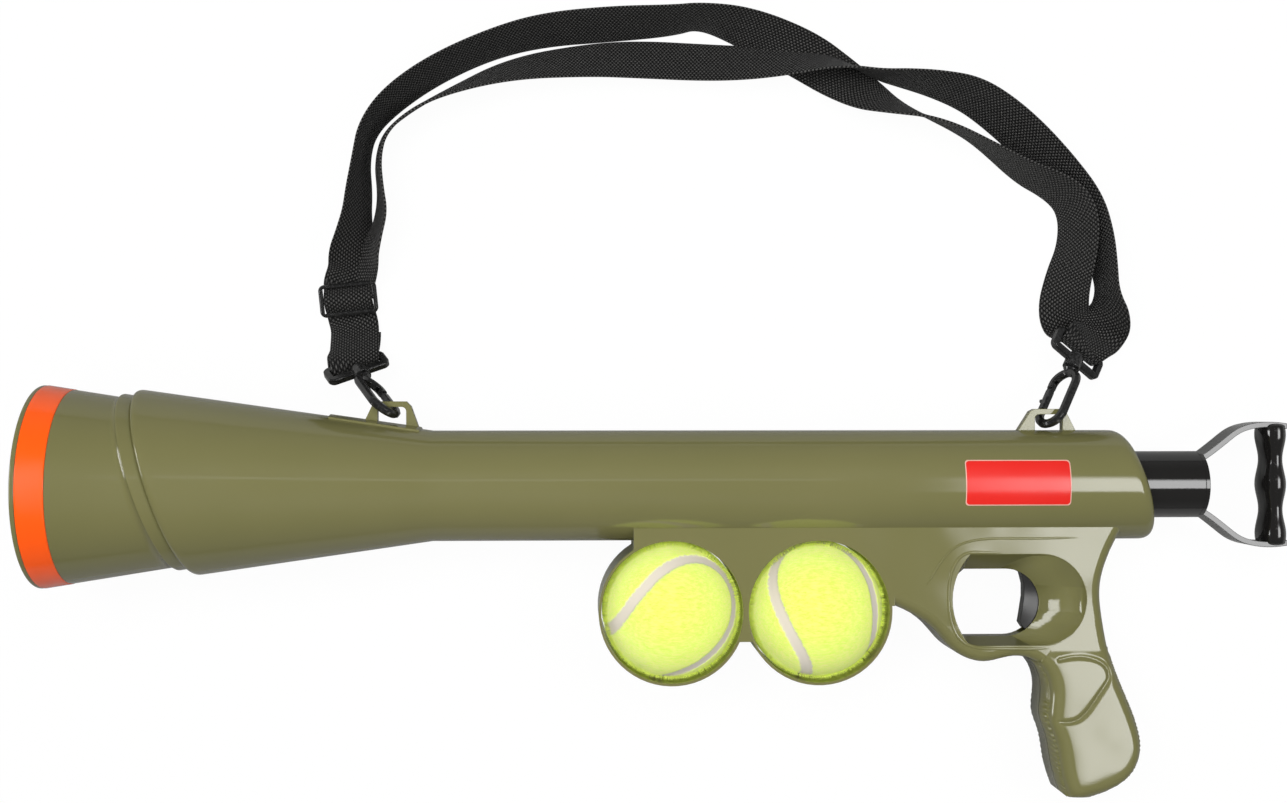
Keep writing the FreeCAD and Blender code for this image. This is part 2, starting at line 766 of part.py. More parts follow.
def striker():
    """Head, rubber pad and screw at the front end of the plunger."""
    front = "Sizes.plunger_front - Sizes.head_length"
    head = cylinder("head_disc", "Sizes.head_radius", "Sizes.head_length", (front, "0", "0"))
    spigot = cylinder("head_spigot", "Sizes.plunger_radius - Sizes.plunger_wall - Sizes.seat_gap",
                      "Sizes.head_length", ("Sizes.plunger_front", "0", "0"))
    groove = tube_piece("head_groove", "Sizes.head_radius", "Sizes.head_radius - Sizes.wall / 2", front
                        + " + Sizes.head_length / 3", "Sizes.head_length / 3")
    hole = cylinder("head_hole", "Sizes.screw_radius + Sizes.seat_gap", "2 * Sizes.head_length",
                    (front, "0", "0"))
    body = cut("head_grooved", fuse("head_solid", head, spigot), groove)
    piece("striker_head", cut("head_bored", body, hole))

    pad_front = front + " - Sizes.pad_thick"
    pad = cylinder("pad_disc", "Sizes.pad_radius", "Sizes.pad_thick", (pad_front, "0", "0"))
    seat = cylinder("pad_seat", "Sizes.screw_head_radius + Sizes.seat_gap", "Sizes.screw_head + Sizes.seat_gap",
                    (pad_front, "0", "0"))
    pad_hole = cylinder("pad_hole", "Sizes.screw_radius + Sizes.seat_gap", "Sizes.pad_thick",
                        (pad_front, "0", "0"))
    piece("striker_pad", cut("pad_cut", pad, fuse("pad_holes", seat, pad_hole)))

    top = cylinder("striker_screw_top", "Sizes.screw_head_radius", "Sizes.screw_head",
                   (pad_front, "0", "0"))
    shank = cylinder("striker_screw_shank", "Sizes.screw_radius", "Sizes.head_length + Sizes.pad_thick",
                     (pad_front, "0", "0"))
    piece("striker_screw", fuse("striker_screw_solid", top, shank))


def guides():
    """Spring collar and rear bush, in which the plunger tube slides."""
    outer = "Sizes.tube_radius - Sizes.wall - Sizes.seat_gap"
    inner = "Sizes.plunger_radius + Sizes.running_gap"
    piece("spring_seat_collar", tube_piece("collar", outer, inner, "Sizes.collar_x", "Sizes.collar_length"))
    piece("rear_guide_bush", tube_piece("bush", outer, inner, "Sizes.bush_x", "Sizes.bush_length"))


def main_spring():
    """Closed sleeve around the plunger with the outside and bore of the coiled spring."""
    piece("main_spring", tube_piece(
        "spring", "Sizes.spring_radius + Sizes.spring_wire", "Sizes.spring_radius - Sizes.spring_wire",
        "Sizes.plunger_front + Sizes.work_gap",
        "Sizes.collar_x - Sizes.plunger_front - 2 * Sizes.work_gap"))


# Pull handle.

# An arm's outline behind the plunger tube's end: how far back, and how far from the axis.
ARM_COURSE = ((0.0, 14.4), (5.4, 18.2), (11.0, 22.6), (16.9, 26.8), (23.9, 29.2), (40.8, 29.2))


def pull_handle():
    """Yoke with its plug and two bent arms, the waved hand grip between them and a screw."""
    scale = size("handle_half") / ARM_COURSE[-1][1]
    back = size("plunger_back")
    outer = [Vector(back + x, y * scale, 0) for x, y in ARM_COURSE]
    inner = inset(outer, -size("arm_thick"))
    front = back - size("plug_flange")
    bore = size("plunger_radius") - size("plunger_wall") - size("seat_gap")
    yoke = rod(back - size("plug_length"), back, bore).fuse(rod(front, back, size("plunger_radius")))
    for side in (1, -1):
        rims = [[Vector(p.x, p.y * side, 0) for p in run] for run in (outer, inner)]
        heels = [Vector(front, run[0].y, 0) for run in rims]
        arm = Part.Face(Part.Wire([Part.makeLine(heels[1], heels[0]), Part.makeLine(heels[0], rims[0][0]),
                                   spline(rims[0]), Part.makeLine(rims[0][-1], rims[1][-1]),
                                   spline(rims[1]), Part.makeLine(rims[1][0], heels[1])]))
        yoke = yoke.fuse(slab(arm, -size("arm_half"), size("arm_half")))
        yoke = yoke.cut(Part.makeCylinder(size("spigot_radius") + size("seat_gap"), size("handle_half"),
                                          Vector(size("handle_back"), 0, 0), Vector(0, side, 0)))
    drill = Part.makeCylinder(size("screw_radius") + size("running_gap"), size("plunger_radius"),
                              Vector(back - size("plug_length") / 2, 0, -size("plunger_radius")))
    shaped("handle_yoke", yoke.cut(drill))

    reach = size("handle_half") - size("arm_thick") - size("seat_gap")
    ribs = 10
    rings = []
    for step in range(ribs + 1):
        along = -reach + 2 * reach * step / ribs
        wave = size("handle_grip_wave") * math.cos(2 * math.pi * along / (4 / 3 * reach))
        half_depth = size("handle_grip_depth") + wave
        half_width = size("handle_grip_radius") + wave
        oval = Part.Ellipse(Vector(size("handle_back"), along, 0), half_depth, half_width)
        edge = oval.toShape()
        edge.rotate(Vector(size("handle_back"), along, 0), Vector(1, 0, 0), 90)
        edge.rotate(Vector(size("handle_back"), along, 0), Vector(0, 1, 0), 90)
        rings.append(Part.Wire([edge]))
    bar = Part.makeLoft(rings, True, True)
    bar = bar.fuse(Part.makeCylinder(size("spigot_radius"), 2 * size("handle_half"),
                                     Vector(size("handle_back"), -size("handle_half"), 0), Vector(0, 1, 0)))
    shaped("handle_grip", bar)

    place = ("Sizes.plunger_back - Sizes.plug_length / 2", "0", "-Sizes.plunger_radius")
    top = cylinder("handle_screw_top", "Sizes.screw_head_radius", "Sizes.screw_head",
                   (place[0], place[1], place[2] + " - Sizes.screw_head"), ALONG_GZ)
    shank = cylinder("handle_screw_shank", "Sizes.screw_radius", "Sizes.plunger_radius / 2 + Sizes.screw_head",
                     (place[0], place[1], place[2] + " - Sizes.screw_head"), ALONG_GZ)
    piece("handle_screw", fuse("handle_screw_solid", top, shank))


# Trigger, sear, their pins and springs.


def gx(offset, origin):
    """Expression for a place along the barrel, counted from a pivot."""
    return f"Sizes.{origin}_x + ({offset})"


def gy(offset, origin):
    """Expression for a height, counted from a pivot."""
    return f"-Sizes.{origin}_drop + ({offset})"


def lever(node, origin, corners, rounds):
    """Flat lever around its pin: an outline counted from the pivot, with the pin's hole."""
    outline = [(gx(x, origin), gy(y, origin)) for x, y in corners]
    body = profile_body(node, outline, f"Sizes.{origin}_half", rounds)
    plane = [o for o in body.Origin.OriginFeatures if o.Role == "XY_Plane"][0]
    sketch = body.newObject("Sketcher::SketchObject", node + "_hole")
    sketch.AttachmentSupport = [(plane, "")]
    sketch.MapMode = "FlatFace"
    center = Vector(evaluate(gx(0, origin)), evaluate(gy(0, origin)), 0)
    radius = size("pin_radius") + size("running_gap")
    sketch.addGeometry(Part.Circle(center, Vector(0, 0, 1), radius), False)
    for kind, expression, value in (("DistanceX", gx(0, origin), center.x), ("DistanceY", gy(0, origin), center.y)):
        number = sketch.addConstraint(Sketcher.Constraint(kind, -1, 1, 0, 3, value))
        sketch.setExpression(f"Constraints[{number}]", expression)
    number = sketch.addConstraint(Sketcher.Constraint("Radius", 0, radius))
    sketch.setExpression(f"Constraints[{number}]", "Sizes.pin_radius + Sizes.running_gap")
    pocket = body.newObject("PartDesign::Pocket", node + "_bore")
    pocket.Profile = sketch
    pocket.Type = "ThroughAll"
    pocket.SideType = "Symmetric"
    doc.recompute()


TRIGGER_CORNERS = ((-4.2, 3.0), (10.5, 3.0), (10.5, 3.6), (13.0, 3.6), (13.0, -0.4), (4.0, -4.0),
                   (1.7, -13.0), (1.2, -21.0), (-0.4, -28.0), (-3.2, -34.6), (-7.6, -34.2),
                   (-9.5, -31.3), (-8.6, -26.0), (-7.5, -19.0), (-7.5, -13.0), (-8.9, -7.5),
                   (-8.2, -3.0), (-4.2, -1.4))
SEAR_CORNERS = ((-16.2, 11.3), (-11.8, 11.3), (-11.2, 5.6), (-6.0, 3.0), (3.0, 3.0), (24.5, 0.6),
                (24.5, -3.0), (-8.6, -3.0), (-9.6, 0.2), (-16.2, 0.2))


def trigger_group():
    """Trigger, sear, their pins and the two small return springs."""
    lever("trigger", "trigger", TRIGGER_CORNERS, {"1.5": (0, 4, 9, 10)})
    lever("sear", "sear", SEAR_CORNERS, {"1.2": (3, 5, 9)})
    for node in ("trigger", "sear"):
        piece(node + "_pin", cylinder(node + "_pin_rod", "Sizes.pin_radius", "2 * Sizes.pin_half",
                                      (f"Sizes.{node}_x", f"-Sizes.{node}_drop", "-Sizes.pin_half"), ALONG_GZ))
    front = "Sizes.trigger_x + 2.3"
    coil = cylinder("trigger_spring_coil", "Sizes.small_spring_radius",
                    "6.8 - 2 * Sizes.seat_gap", (front, "-Sizes.trigger_drop - 12.5", "0"))
    piece("trigger_return_spring", coil)
    floor = "-Sizes.gap_top + 1.6 + Sizes.seat_gap"
    lift = cylinder("sear_spring_coil", "Sizes.small_spring_radius",
                    f"-Sizes.sear_drop + 0.2 - Sizes.seat_gap - ({floor})",
                    ("Sizes.sear_x - 12.6", floor, "0"), ALONG_GY)
    piece("sear_spring", lift)


def body_screws():
    """Self-tapping screws that pull the halves together from the right side."""
    solids = []
    low = -size("frame_half") + size("screw_sink") - size("screw_head")
    for x, y in SCREW_SPOTS:
        top = Part.makeCylinder(size("screw_head_radius"), size("screw_head"), Vector(x, y, low))
        shank = Part.makeCylinder(size("screw_radius"), size("screw_reach") - low, Vector(x, y, low))
        solids.append(top.fuse(shank))
    shaped("body_screws", Part.makeCompound(solids))


muzzle_cup()
muzzle_band()
balls()
plunger()
striker()
guides()
main_spring()
pull_handle()
trigger_group()
body_screws()


# Snap hooks with swivel bases.


def hook_place(end, kind):
    """Placement of a hook's frame: u towards the strap, v across, origin in its lug's bar."""
    bar = REST.multVec(Vector(size(end + "_lug_x") + size(end + "_hook_shift"),
                              size(end + "_lug_top") - size("lug_bar") / 2, 0))
    turn = Rotation(Vector(0, 0, 1), size(end + "_hook_yaw"))
    turn = turn.multiply(Rotation(Vector(0, 1, 0), size(end + "_hook_dip")))
    ring = turn.multiply(Rotation(Vector(1, 0, 0), size(end + "_hook_roll")))
    base = turn.multiply(Rotation(Vector(1, 0, 0), size(end + "_base_roll")))
    origin = bar - ring.multVec(Vector(size("hook_hang"), size("hook_play"), 0))
    return Placement(origin, ring if kind == "hook" else base)


def racetrack(front, back, radius):
    """Outline of two half circles joined by straight sides, around two stations of u."""
    side = Vector(0, radius, 0)
    near, far = Vector(front, 0, 0), Vector(back, 0, 0)
    return Part.Wire([Part.Arc(near - side, near - Vector(radius, 0, 0), near + side).toShape(),
                      Part.makeLine(near + side, far + side),
                      Part.Arc(far + side, far + Vector(radius, 0, 0), far - side).toShape(),
                      Part.makeLine(far - side, near - side)])


def hook_ring():
    """Bevelled ring with the gate's opening between its nose and the pin."""
    half, thick = size("hook_half"), size("hook_rod")
    front, back = half - size("hook_reach"), size("hook_side")
    outer = Part.Face(racetrack(front, back, half + thick))
    ring = slab(outer, -thick, thick).cut(slab(Part.Face(racetrack(front, back, half - thick)), -thick, thick))
    rims = [edge for edge in ring.Edges if edge.BoundBox.ZLength < 1e-3]
    ring = ring.makeChamfer(size("hook_bevel"), rims)
    nose, stub = size("gate_gap_low"), size("gate_pin_u") - thick
    return ring.cut(Part.makeBox(stub - nose, 2 * thick + 2, 2 * thick + 2,
                                 Vector(nose, -half - thick - 1, -thick - 1)))


def cross_rod(center, radius, half):
    """Rod across the hook's plane."""
    return Part.makeCylinder(radius, 2 * half, center - Vector(0, 0, half), Vector(0, 0, 1))


def hook_body():
    """Ring with the gate's fork, and the post with its head for the swivel."""
    half = size("hook_half")
    gap = size("work_gap")
    pin = Vector(size("gate_pin_u"), -half, 0)
    rod_radius = size("hook_rod")
    tongue = size("gate_tongue_half") + size("gate_play")
    slot = Part.makeBox(2 * rod_radius + gap + 1, 2 * rod_radius + 1, 2 * tongue,
                        pin - Vector(rod_radius + 1, rod_radius + 0.5, tongue))
    body = hook_ring().cut(slot)
    body = body.cut(cross_rod(pin, size("gate_pin_radius"), rod_radius + 1))
    root = size("hook_side") + half
    post = Part.makeCylinder(size("post_radius"), size("post_end") - root, Vector(root, 0, 0), Vector(1, 0, 0))
    head = Part.makeCylinder(size("post_head_radius"), size("post_head"),
                             Vector(size("post_end") - size("post_head"), 0, 0), Vector(1, 0, 0))
    flare = Part.makeCone(rod_radius, size("post_head_radius"), size("hook_rod"),
                          Vector(root, 0, 0), Vector(1, 0, 0))
    return body.fuse([post, head, flare])


def hook_gate():
    """Sprung gate: round bar, flat tongue round the pin and a thumb nub."""
    half = size("hook_half")
    low = size("gate_gap_low") + size("work_gap")
    pin = Vector(size("gate_pin_u"), -half, 0)
    shoulder = pin.x - size("hook_rod") - size("gate_shoulder")
    thick = size("hook_gate_rod")
    bar = Part.makeBox(shoulder - low, 2 * thick, 2 * thick, Vector(low, -half - thick, -thick))
    bar = bar.makeChamfer(size("hook_bevel") / 2, [e for e in bar.Edges if e.BoundBox.XLength > thick])
    flat_half = size("gate_tongue_half")
    tongue = Part.makeBox(pin.x - shoulder, 2 * size("hook_gate_rod"), 2 * flat_half,
                          Vector(shoulder, -half - size("hook_gate_rod"), -flat_half))
    eye = cross_rod(pin, size("hook_gate_rod"), flat_half)
    nub = Part.makeCylinder(flat_half, 2 * size("hook_gate_rod"), Vector((low + shoulder) / 2, -half, 0),
                            Vector(0, -1, 0))
    gate = bar.fuse([tongue, eye, nub])
    return gate.cut(cross_rod(pin, size("gate_pin_radius") + size("running_gap"), size("hook_rod")))


def swivel_base():
    """Flat loop for the webbing with the collar that turns on the hook's post."""
    low, high = size("base_low"), size("base_high")
    half, thick, bar = size("base_half"), size("base_thick") / 2, size("base_bar")
    plate = Part.makeBox(high - low, 2 * half, 2 * thick, Vector(low, -half, -thick))
    corners = [e for e in plate.Edges if abs(e.Vertexes[0].X - e.Vertexes[-1].X) < 1e-6
               and abs(e.Vertexes[0].Y - e.Vertexes[-1].Y) < 1e-6]
    plate = plate.makeFillet(size("base_round"), corners)
    plate = plate.makeChamfer(size("base_bevel"), [e for e in plate.Edges if abs(e.Vertexes[0].Z) > thick - 1e-6
                                                   and abs(e.Vertexes[0].Z - e.Vertexes[-1].Z) < 1e-6])
    inner = Part.makeBox(high - low - 2 * bar, 2 * (half - bar) + 0.6, 4 * thick,
                         Vector(low + bar, -half + bar - 0.3, -2 * thick))
    boss = Part.makeCylinder(size("boss_turn_radius"), low + bar - size("collar_low"),
                             Vector(size("collar_low"), 0, 0), Vector(1, 0, 0))
    bore = Part.makeCylinder(size("post_radius") + size("running_gap"), high,
                             Vector(), Vector(1, 0, 0))
    keep = Part.makeBox(high, 2 * half, 4 * thick, Vector(0, -half, -2 * thick))
    passage = bore.common(Part.makeBox(low + bar + 1, 2 * half, 4 * thick, Vector(0, -half, -2 * thick)))
    return plate.cut(inner).fuse(boss).cut(passage).common(keep.fuse(boss))


def snap_hooks():
    """The two hooks: the same four pieces, one set in each lug."""
    half = size("hook_half")
    pin = cross_rod(Vector(size("gate_pin_u"), -half, 0), size("gate_pin_radius"), size("hook_rod"))
    for end in ("front", "rear"):
        place = hook_place(end, "hook")
        shaped(end + "_hook_body", hook_body(), place)
        shaped(end + "_hook_gate", hook_gate(), place)
        shaped(end + "_gate_pin", pin, place)
        shaped(end + "_swivel_base", swivel_base(), hook_place(end, "base"))


snap_hooks()


# Shoulder strap: two runs of one webbing, and its slider.

# Route points on the floor: x, y, lean of the webbing and lift of its lower edge.
# The lean raises the edge on the loop's inner side, and past 90 the outer edge is up.
OUTER_ROUTE = ((-156.5, 140.5, -12, 1.9), (-156.5, 148.5, -30, 1.5), (-155, 156.5, -50, 0.8),
               (-153.5, 167.5, -65, 0), (-152.5, 178.5, -68, 0), (-151.5, 194, -80, 0),
               (-148.5, 208.5, -78, 0), (-137, 222.5, -69, 0), (-116.5, 237, -67, 0),
               (-89.5, 249.5, -67, 0), (-63, 257, -61, 0), (-29, 260, -58, 0), (0.5, 261.5, -65, 0),
               (14.5, 264, -73, 0), (36.5, 259, -49, 0), (66, 246.5, -16, 0), (82.5, 236, 10, 0),
               (96.5, 226, 34, 0), (109, 220, 60, 0), (126, 214.5, 80, 0), (139.5, 209, 86, 0),
               (152, 202, 90, 0), (173.5, 187, 109, 0), (186, 181.5, 115, 0), (195, 175.5, 122, 0),
               (199.5, 168, 128, 0), (200.5, 158.5, 130, 0), (199, 147.5, 132, 0),
               (196, 136.5, 142, 0), (194, 125, 152, 0), (195.5, 115, 180, 0))
INNER_ROUTE = ((-154, 141.5, 18, 0), (-149.5, 148.5, 38, 0), (-144.5, 156.5, 66, 0),
               (-141.5, 167.5, 68, 0), (-142, 178.5, 76, 0), (-143.5, 193, 75, 0), (-140, 207, 75, 0),
               (-126.5, 218, 79, 0), (-110, 226.5, 74, 0), (-78, 238.5, 53, 0), (-40, 243, 38, 0),
               (-14.5, 243.5, 30, 0), (14.5, 242, 31, 0), (35.5, 241.5, 36, 0), (55.5, 241.5, 45, 1.9),
               (76, 241.5, 62, 1.9), (90, 238.5, 78, 1.9), (102, 235, 90, 1.5), (114, 233.5, 100, 0),
               (131, 230.5, 112, 0), (147, 226, 126, 0), (160.5, 217.5, 134, 0),
               (175.5, 204.5, 137, 0), (190.5, 188, 136, 0), (203, 172, 130, 0), (209, 155.5, 118, 0),
               (212.5, 140.5, 105, 0), (214, 128, 100, 0), (216, 117.5, 130, 0),
               (213.5, 107.5, 175, 0))
FRONT_TAIL = ((-156, 108.5, 0, 1.9), (-156.5, 112.5, 0, 0.6), (-157.5, 116, 0, 0))
FRONT_HEM = ((-155.5, 109.5, 0, 0), (-155.5, 103.5, 0, 0))


def route_rows(points):
    """Cross sections at route points: the webbing's middle and the direction across it."""
    rows = []
    for index, (x, y, lean, lift) in enumerate(points):
        before = points[max(index - 1, 0)]
        after = points[min(index + 1, len(points) - 1)]
        along = Vector(after[0] - before[0], after[1] - before[1], 0).normalize()
        rise, run = abs(math.sin(math.radians(lean))), abs(math.cos(math.radians(lean)))
        height = size("web_width") / 2 * rise + size("web_thick") / 2 * run + size("web_clear") + lift
        inward = Vector(along.y, -along.x, 0)
        across = inward * math.cos(math.radians(lean)) + Vector(0, 0, math.sin(math.radians(lean)))
        rows.append((Vector(x, y, height), across))
    return rows


def loop_rows(end, spots):
    """Cross sections beside a swivel base's bar, from pairs of u and w."""
    place = hook_place(end, "base")
    across = place.Rotation.multVec(Vector(0, 1, 0))
    return [(place.multVec(Vector(u, 0, w)), across) for u, w in spots]


def slider_place():
    """Placement of the strap's slider, with y towards the two runs."""
    turn = Rotation(Vector(0, 0, 1), size("slider_turn"))
    return Placement(Vector(size("slider_x"), size("slider_y"), 0), turn)


def slider_rows(spots):
    """Cross sections inside the slider, from pairs of its y and the height."""
    across = slider_place().Rotation.multVec(Vector(1, 0, 0))
    return [(slider_place().multVec(Vector(0, y, z)), across) for y, z in spots]


def webbing(node, rows):
    """Flat webbing: a ruled loft through rectangles at the rows."""
    wires = []
    last = rows[0][1]
    for index, (middle, across) in enumerate(rows):
        if across.dot(last) < 0:
            across = across * -1
        last = across
        along = rows[min(index + 1, len(rows) - 1)][0] - rows[max(index - 1, 0)][0]
        half = across.normalize() * (size("web_width") / 2)
        through = along.cross(across).normalize() * (size("web_thick") / 2)
        corners = [middle + half + through, middle - half + through,
                   middle - half - through, middle + half - through]
        wires.append(Part.makePolygon(corners + corners[:1]))
    run = Part.makeLoft(wires, True, True)
    if run.Volume < 0:
        run.reverse()
    shaped(node, run, Placement())


def strap():
    """The outer run, hemmed round the front base, and the inner run, sewn at the slider."""
    reach = size("web_gap") + size("web_thick") / 2
    diagonal = reach * math.sqrt(0.5)
    near, far = size("base_high") - size("base_bar"), size("base_high")
    top = size("base_thick") / 2
    over = ((near - reach, 0), (near - reach, top), (near - diagonal, top + diagonal),
            (near, top + reach), (far, top + reach))
    under = tuple((u, -w) for u, w in over)
    hem = ((near - reach, 2 * top), (near - reach, -top), (near - diagonal, -top - diagonal),
           (near, -top - reach), (far, -top - reach), (far + diagonal, -top - diagonal),
           (far + reach, -top), (far + reach, 0))
    low = size("web_thick") / 2 + size("web_clear")
    high = low + size("web_thick") + size("web_clear") / 2
    crown = high + size("web_thick") + 2 * size("web_clear") + size("slider_core") + size("web_clear")
    bar_y = (size("slider_length") - size("slider_bar")) / 2
    inside = bar_y - size("slider_bar") / 2 - size("web_gap")
    passage = ((-bar_y, low), (-inside, high), (-size("slider_bar"), crown),
               (size("slider_bar"), crown), (inside, high), (bar_y, high))
    outer = (route_rows(FRONT_HEM) + loop_rows("front", hem[::-1]) + route_rows(FRONT_TAIL)
             + slider_rows(passage) + route_rows(OUTER_ROUTE) + loop_rows("rear", under[::-1]))
    inner = (slider_rows(((0, high), (size("slider_bar"), high), (bar_y, low))) + route_rows(INNER_ROUTE)
             + loop_rows("rear", over[::-1]))
    webbing("strap_outer_run", outer)
    webbing("strap_inner_run", inner)


def strap_slider():
    """Frame with a thin middle bar that the webbing passes over."""
    wide, long_, bar = size("slider_width"), size("slider_length"), size("slider_bar")
    thick, core = size("slider_thick"), size("slider_core")
    low = 2 * size("web_thick") + 2.5 * size("web_clear") + size("web_clear")
    frame = Part.makeBox(wide, long_, thick, Vector(-wide / 2, -long_ / 2, low))
    corners = [e for e in frame.Edges if abs(e.Vertexes[0].Z - e.Vertexes[-1].Z) > thick / 2]
    frame = frame.makeFillet(size("slider_round"), corners)
    rims = [e for e in frame.Edges if abs(e.Vertexes[0].Z - e.Vertexes[-1].Z) < 1e-6]
    frame = frame.makeChamfer(size("slider_edge"), rims)
    inner = Part.makeBox(wide - 2 * bar, long_ - 2 * bar, 3 * thick,
                         Vector(bar - wide / 2, bar - long_ / 2, low - thick))
    middle = Part.makeBox(wide - bar, bar, core, Vector((bar - wide) / 2, -bar / 2, low))
    shaped("strap_slider", frame.cut(inner).fuse(middle), slider_place())


strap()
strap_slider()


# Last checks and export.


def export_pieces():
    """Stops on any object or piece that failed, then writes one STEP file for each piece."""
    doc.recompute()
    for item in doc.Objects:
        if "Invalid" in item.State or "Error" in item.State:
            raise RuntimeError(f"{item.Label} did not build: {item.State}")
    os.makedirs("parts", exist_ok=True)
    for item in PIECES:
        if item.Shape.isNull() or not item.Shape.isValid():
            raise RuntimeError(f"{item.Label} has no valid shape")
        item.Shape.exportStep(f"parts/{item.Label}.step")


export_pieces()
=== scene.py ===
import logging
import math
from dataclasses import dataclass
from enum import Enum

import bpy
import numpy as np
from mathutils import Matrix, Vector


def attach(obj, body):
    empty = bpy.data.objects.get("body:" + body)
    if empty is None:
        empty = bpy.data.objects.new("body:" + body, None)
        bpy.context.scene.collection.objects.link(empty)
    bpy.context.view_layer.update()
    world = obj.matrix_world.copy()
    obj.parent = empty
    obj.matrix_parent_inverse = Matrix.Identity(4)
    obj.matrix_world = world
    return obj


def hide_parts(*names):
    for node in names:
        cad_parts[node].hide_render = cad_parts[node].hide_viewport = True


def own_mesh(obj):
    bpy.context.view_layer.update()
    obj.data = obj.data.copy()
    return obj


LOG = logging.getLogger("launcher")

MILLIMETRE = 0.001


# The launcher's own frame: back along the barrel, up to the lugs, out to the left half.

REST_PITCH = 2.42
REST_ROLL = -0.4702
REST_OFFSET = (-290.236, 35.1712, 47.3625)


def rest_axes() -> np.ndarray:
    """Rows of the rest turn: a roll about the barrel, then a pitch down to the rear.

    Returns:
        A 3 by 3 array that turns launcher directions into frame directions.
    """
    pitch, roll = math.radians(REST_PITCH), math.radians(REST_ROLL)
    nod = np.array([[math.cos(pitch), 0, math.sin(pitch)], [0, 1, 0],
                    [-math.sin(pitch), 0, math.cos(pitch)]])
    lean = np.array([[1, 0, 0], [0, math.cos(roll), -math.sin(roll)],
                     [0, math.sin(roll), math.cos(roll)]])
    return nod @ lean


AXES = rest_axes()

# Sizes that several sub-assemblies share, in millimetres and degrees.

TUBE_RADIUS = 26.0
WEB_FACE = 17.5
COLLAR_STATION = 54.0
COLLAR_SLANT = 17.5


def laid_down(points: np.ndarray) -> np.ndarray:
    """Moves points from the launcher's own millimetres to the frame's metres.

    Args:
        points: an array whose last axis holds back, up and left in millimetres.

    Returns:
        The same points in the frame, in metres.
    """
    return (np.asarray(points, float) @ AXES.T + np.array(REST_OFFSET)) * MILLIMETRE


# Meshes from worked-out points.


def linked(name: str, mesh: bpy.types.Mesh) -> bpy.types.Object:
    """Puts a mesh into the scene as an object of that name.

    Args:
        name: the object's name.
        mesh: its mesh.

    Returns:
        The object.
    """
    made = bpy.data.objects.new(name, mesh)
    bpy.context.scene.collection.objects.link(made)
    return made


def grid_mesh(name: str, points: np.ndarray, around: bool = False, along: bool = False,
              caps: bool = False, flip: bool = False) -> bpy.types.Mesh:
    """Quads over a grid of points.

    Args:
        name: the mesh's name.
        points: rows by columns by 3, in metres.
        around: whether the last column joins the first.
        along: whether the last row joins the first.
        caps: whether the first and last row are closed with one face each.
        flip: whether the faces turn over.

    Returns:
        A smooth shaded mesh with a UV map of row and column lengths in metres.
    """
    rows, columns = points.shape[:2]
    row = np.arange(rows if along else rows - 1)[:, None]
    column = np.arange(columns if around else columns - 1)[None, :]
    next_row, next_column = (row + 1) % rows, (column + 1) % columns
    quads = np.stack([row * columns + column, row * columns + next_column,
                      next_row * columns + next_column, next_row * columns + column], -1).reshape(-1, 4)
    if flip:
        quads = quads[:, ::-1]
    mesh = bpy.data.meshes.new(name)
    faces = quads.tolist()
    if caps:
        first, last = np.arange(columns).tolist(), np.arange((rows - 1) * columns, rows * columns).tolist()
        faces += [first, last[::-1]] if flip else [first[::-1], last]
    mesh.from_pydata(points.reshape(-1, 3).tolist(), [], faces)
    mesh.shade_smooth()
    layer = mesh.uv_layers.new(name="Surface")
    places = grid_lengths(points, row, column)
    if flip:
        places = places[:, ::-1]
    flat = np.zeros((len(layer.data), 2), np.float32)
    flat[:places.shape[0] * 4] = places.reshape(-1, 2)
    layer.data.foreach_set("uv", flat.ravel())
    return mesh


def grid_lengths(points: np.ndarray, row: np.ndarray, column: np.ndarray) -> np.ndarray:
    """Mean length along the rows and the columns at the corners of a grid's quads.

    Args:
        points: rows by columns by 3.
        row: the quads' rows, as a column of numbers.
        column: the quads' columns, as a row of numbers.

    Returns:
        Quads by 4 by 2, in metres.
    """
    rows, columns = points.shape[:2]
    step_u = np.linalg.norm(np.diff(points, axis=0, append=points[:1]), axis=2)
    step_v = np.linalg.norm(np.diff(points, axis=1, append=points[:, :1]), axis=2)
    run_u = np.vstack([np.zeros((1, columns)), np.cumsum(step_u, axis=0)])
    run_v = np.hstack([np.zeros((rows, 1)), np.cumsum(step_v, axis=1)])
    u = np.broadcast_to(np.mean(run_u, axis=1)[:, None], (rows + 1, columns + 1))
    v = np.broadcast_to(np.mean(run_v, axis=0)[None, :], (rows + 1, columns + 1))
    corner = np.stack([row + 0 * column, row + 0 * column, row + 1 + 0 * column, row + 1 + 0 * column], -1)
    side = np.stack([column + 0 * row, column + 1 + 0 * row, column + 1 + 0 * row, column + 0 * row], -1)
    return np.stack([u[corner, side], v[corner, side]], -1).reshape(-1, 4, 2)


def revolved(profile: np.ndarray, angles: np.ndarray) -> np.ndarray:
    """Carries profiles round the barrel's axis.

    Each point is (back, r cos a, r sin a), where a is 0 at the lugs and a
    quarter turn at the left half's middle.

    Args:
        profile: rows by 2, or rows by angles by 2, of place along and radius.
        angles: the angles in radians.

    Returns:
        A grid of points, rows by angles by 3, in the frame's metres.
    """
    if profile.ndim == 2:
        profile = np.repeat(profile[:, None, :], len(angles), axis=1)
    radius = profile[..., 1]
    return laid_down(np.stack([profile[..., 0], radius * np.cos(angles), radius * np.sin(angles)], -1))


def bend(before: np.ndarray, corner: np.ndarray, after: np.ndarray, steps: int) -> np.ndarray:
    """Points of a parabola that leaves one line at before and meets the other at after.

    Each is (1-t)^2 before + 2(1-t)t corner + t^2 after.
    """
    t = np.linspace(0, 1, steps).reshape((-1,) + (1,) * np.ndim(before))
    return (1 - t) ** 2 * before + 2 * (1 - t) * t * corner + t ** 2 * after


# Finishes.


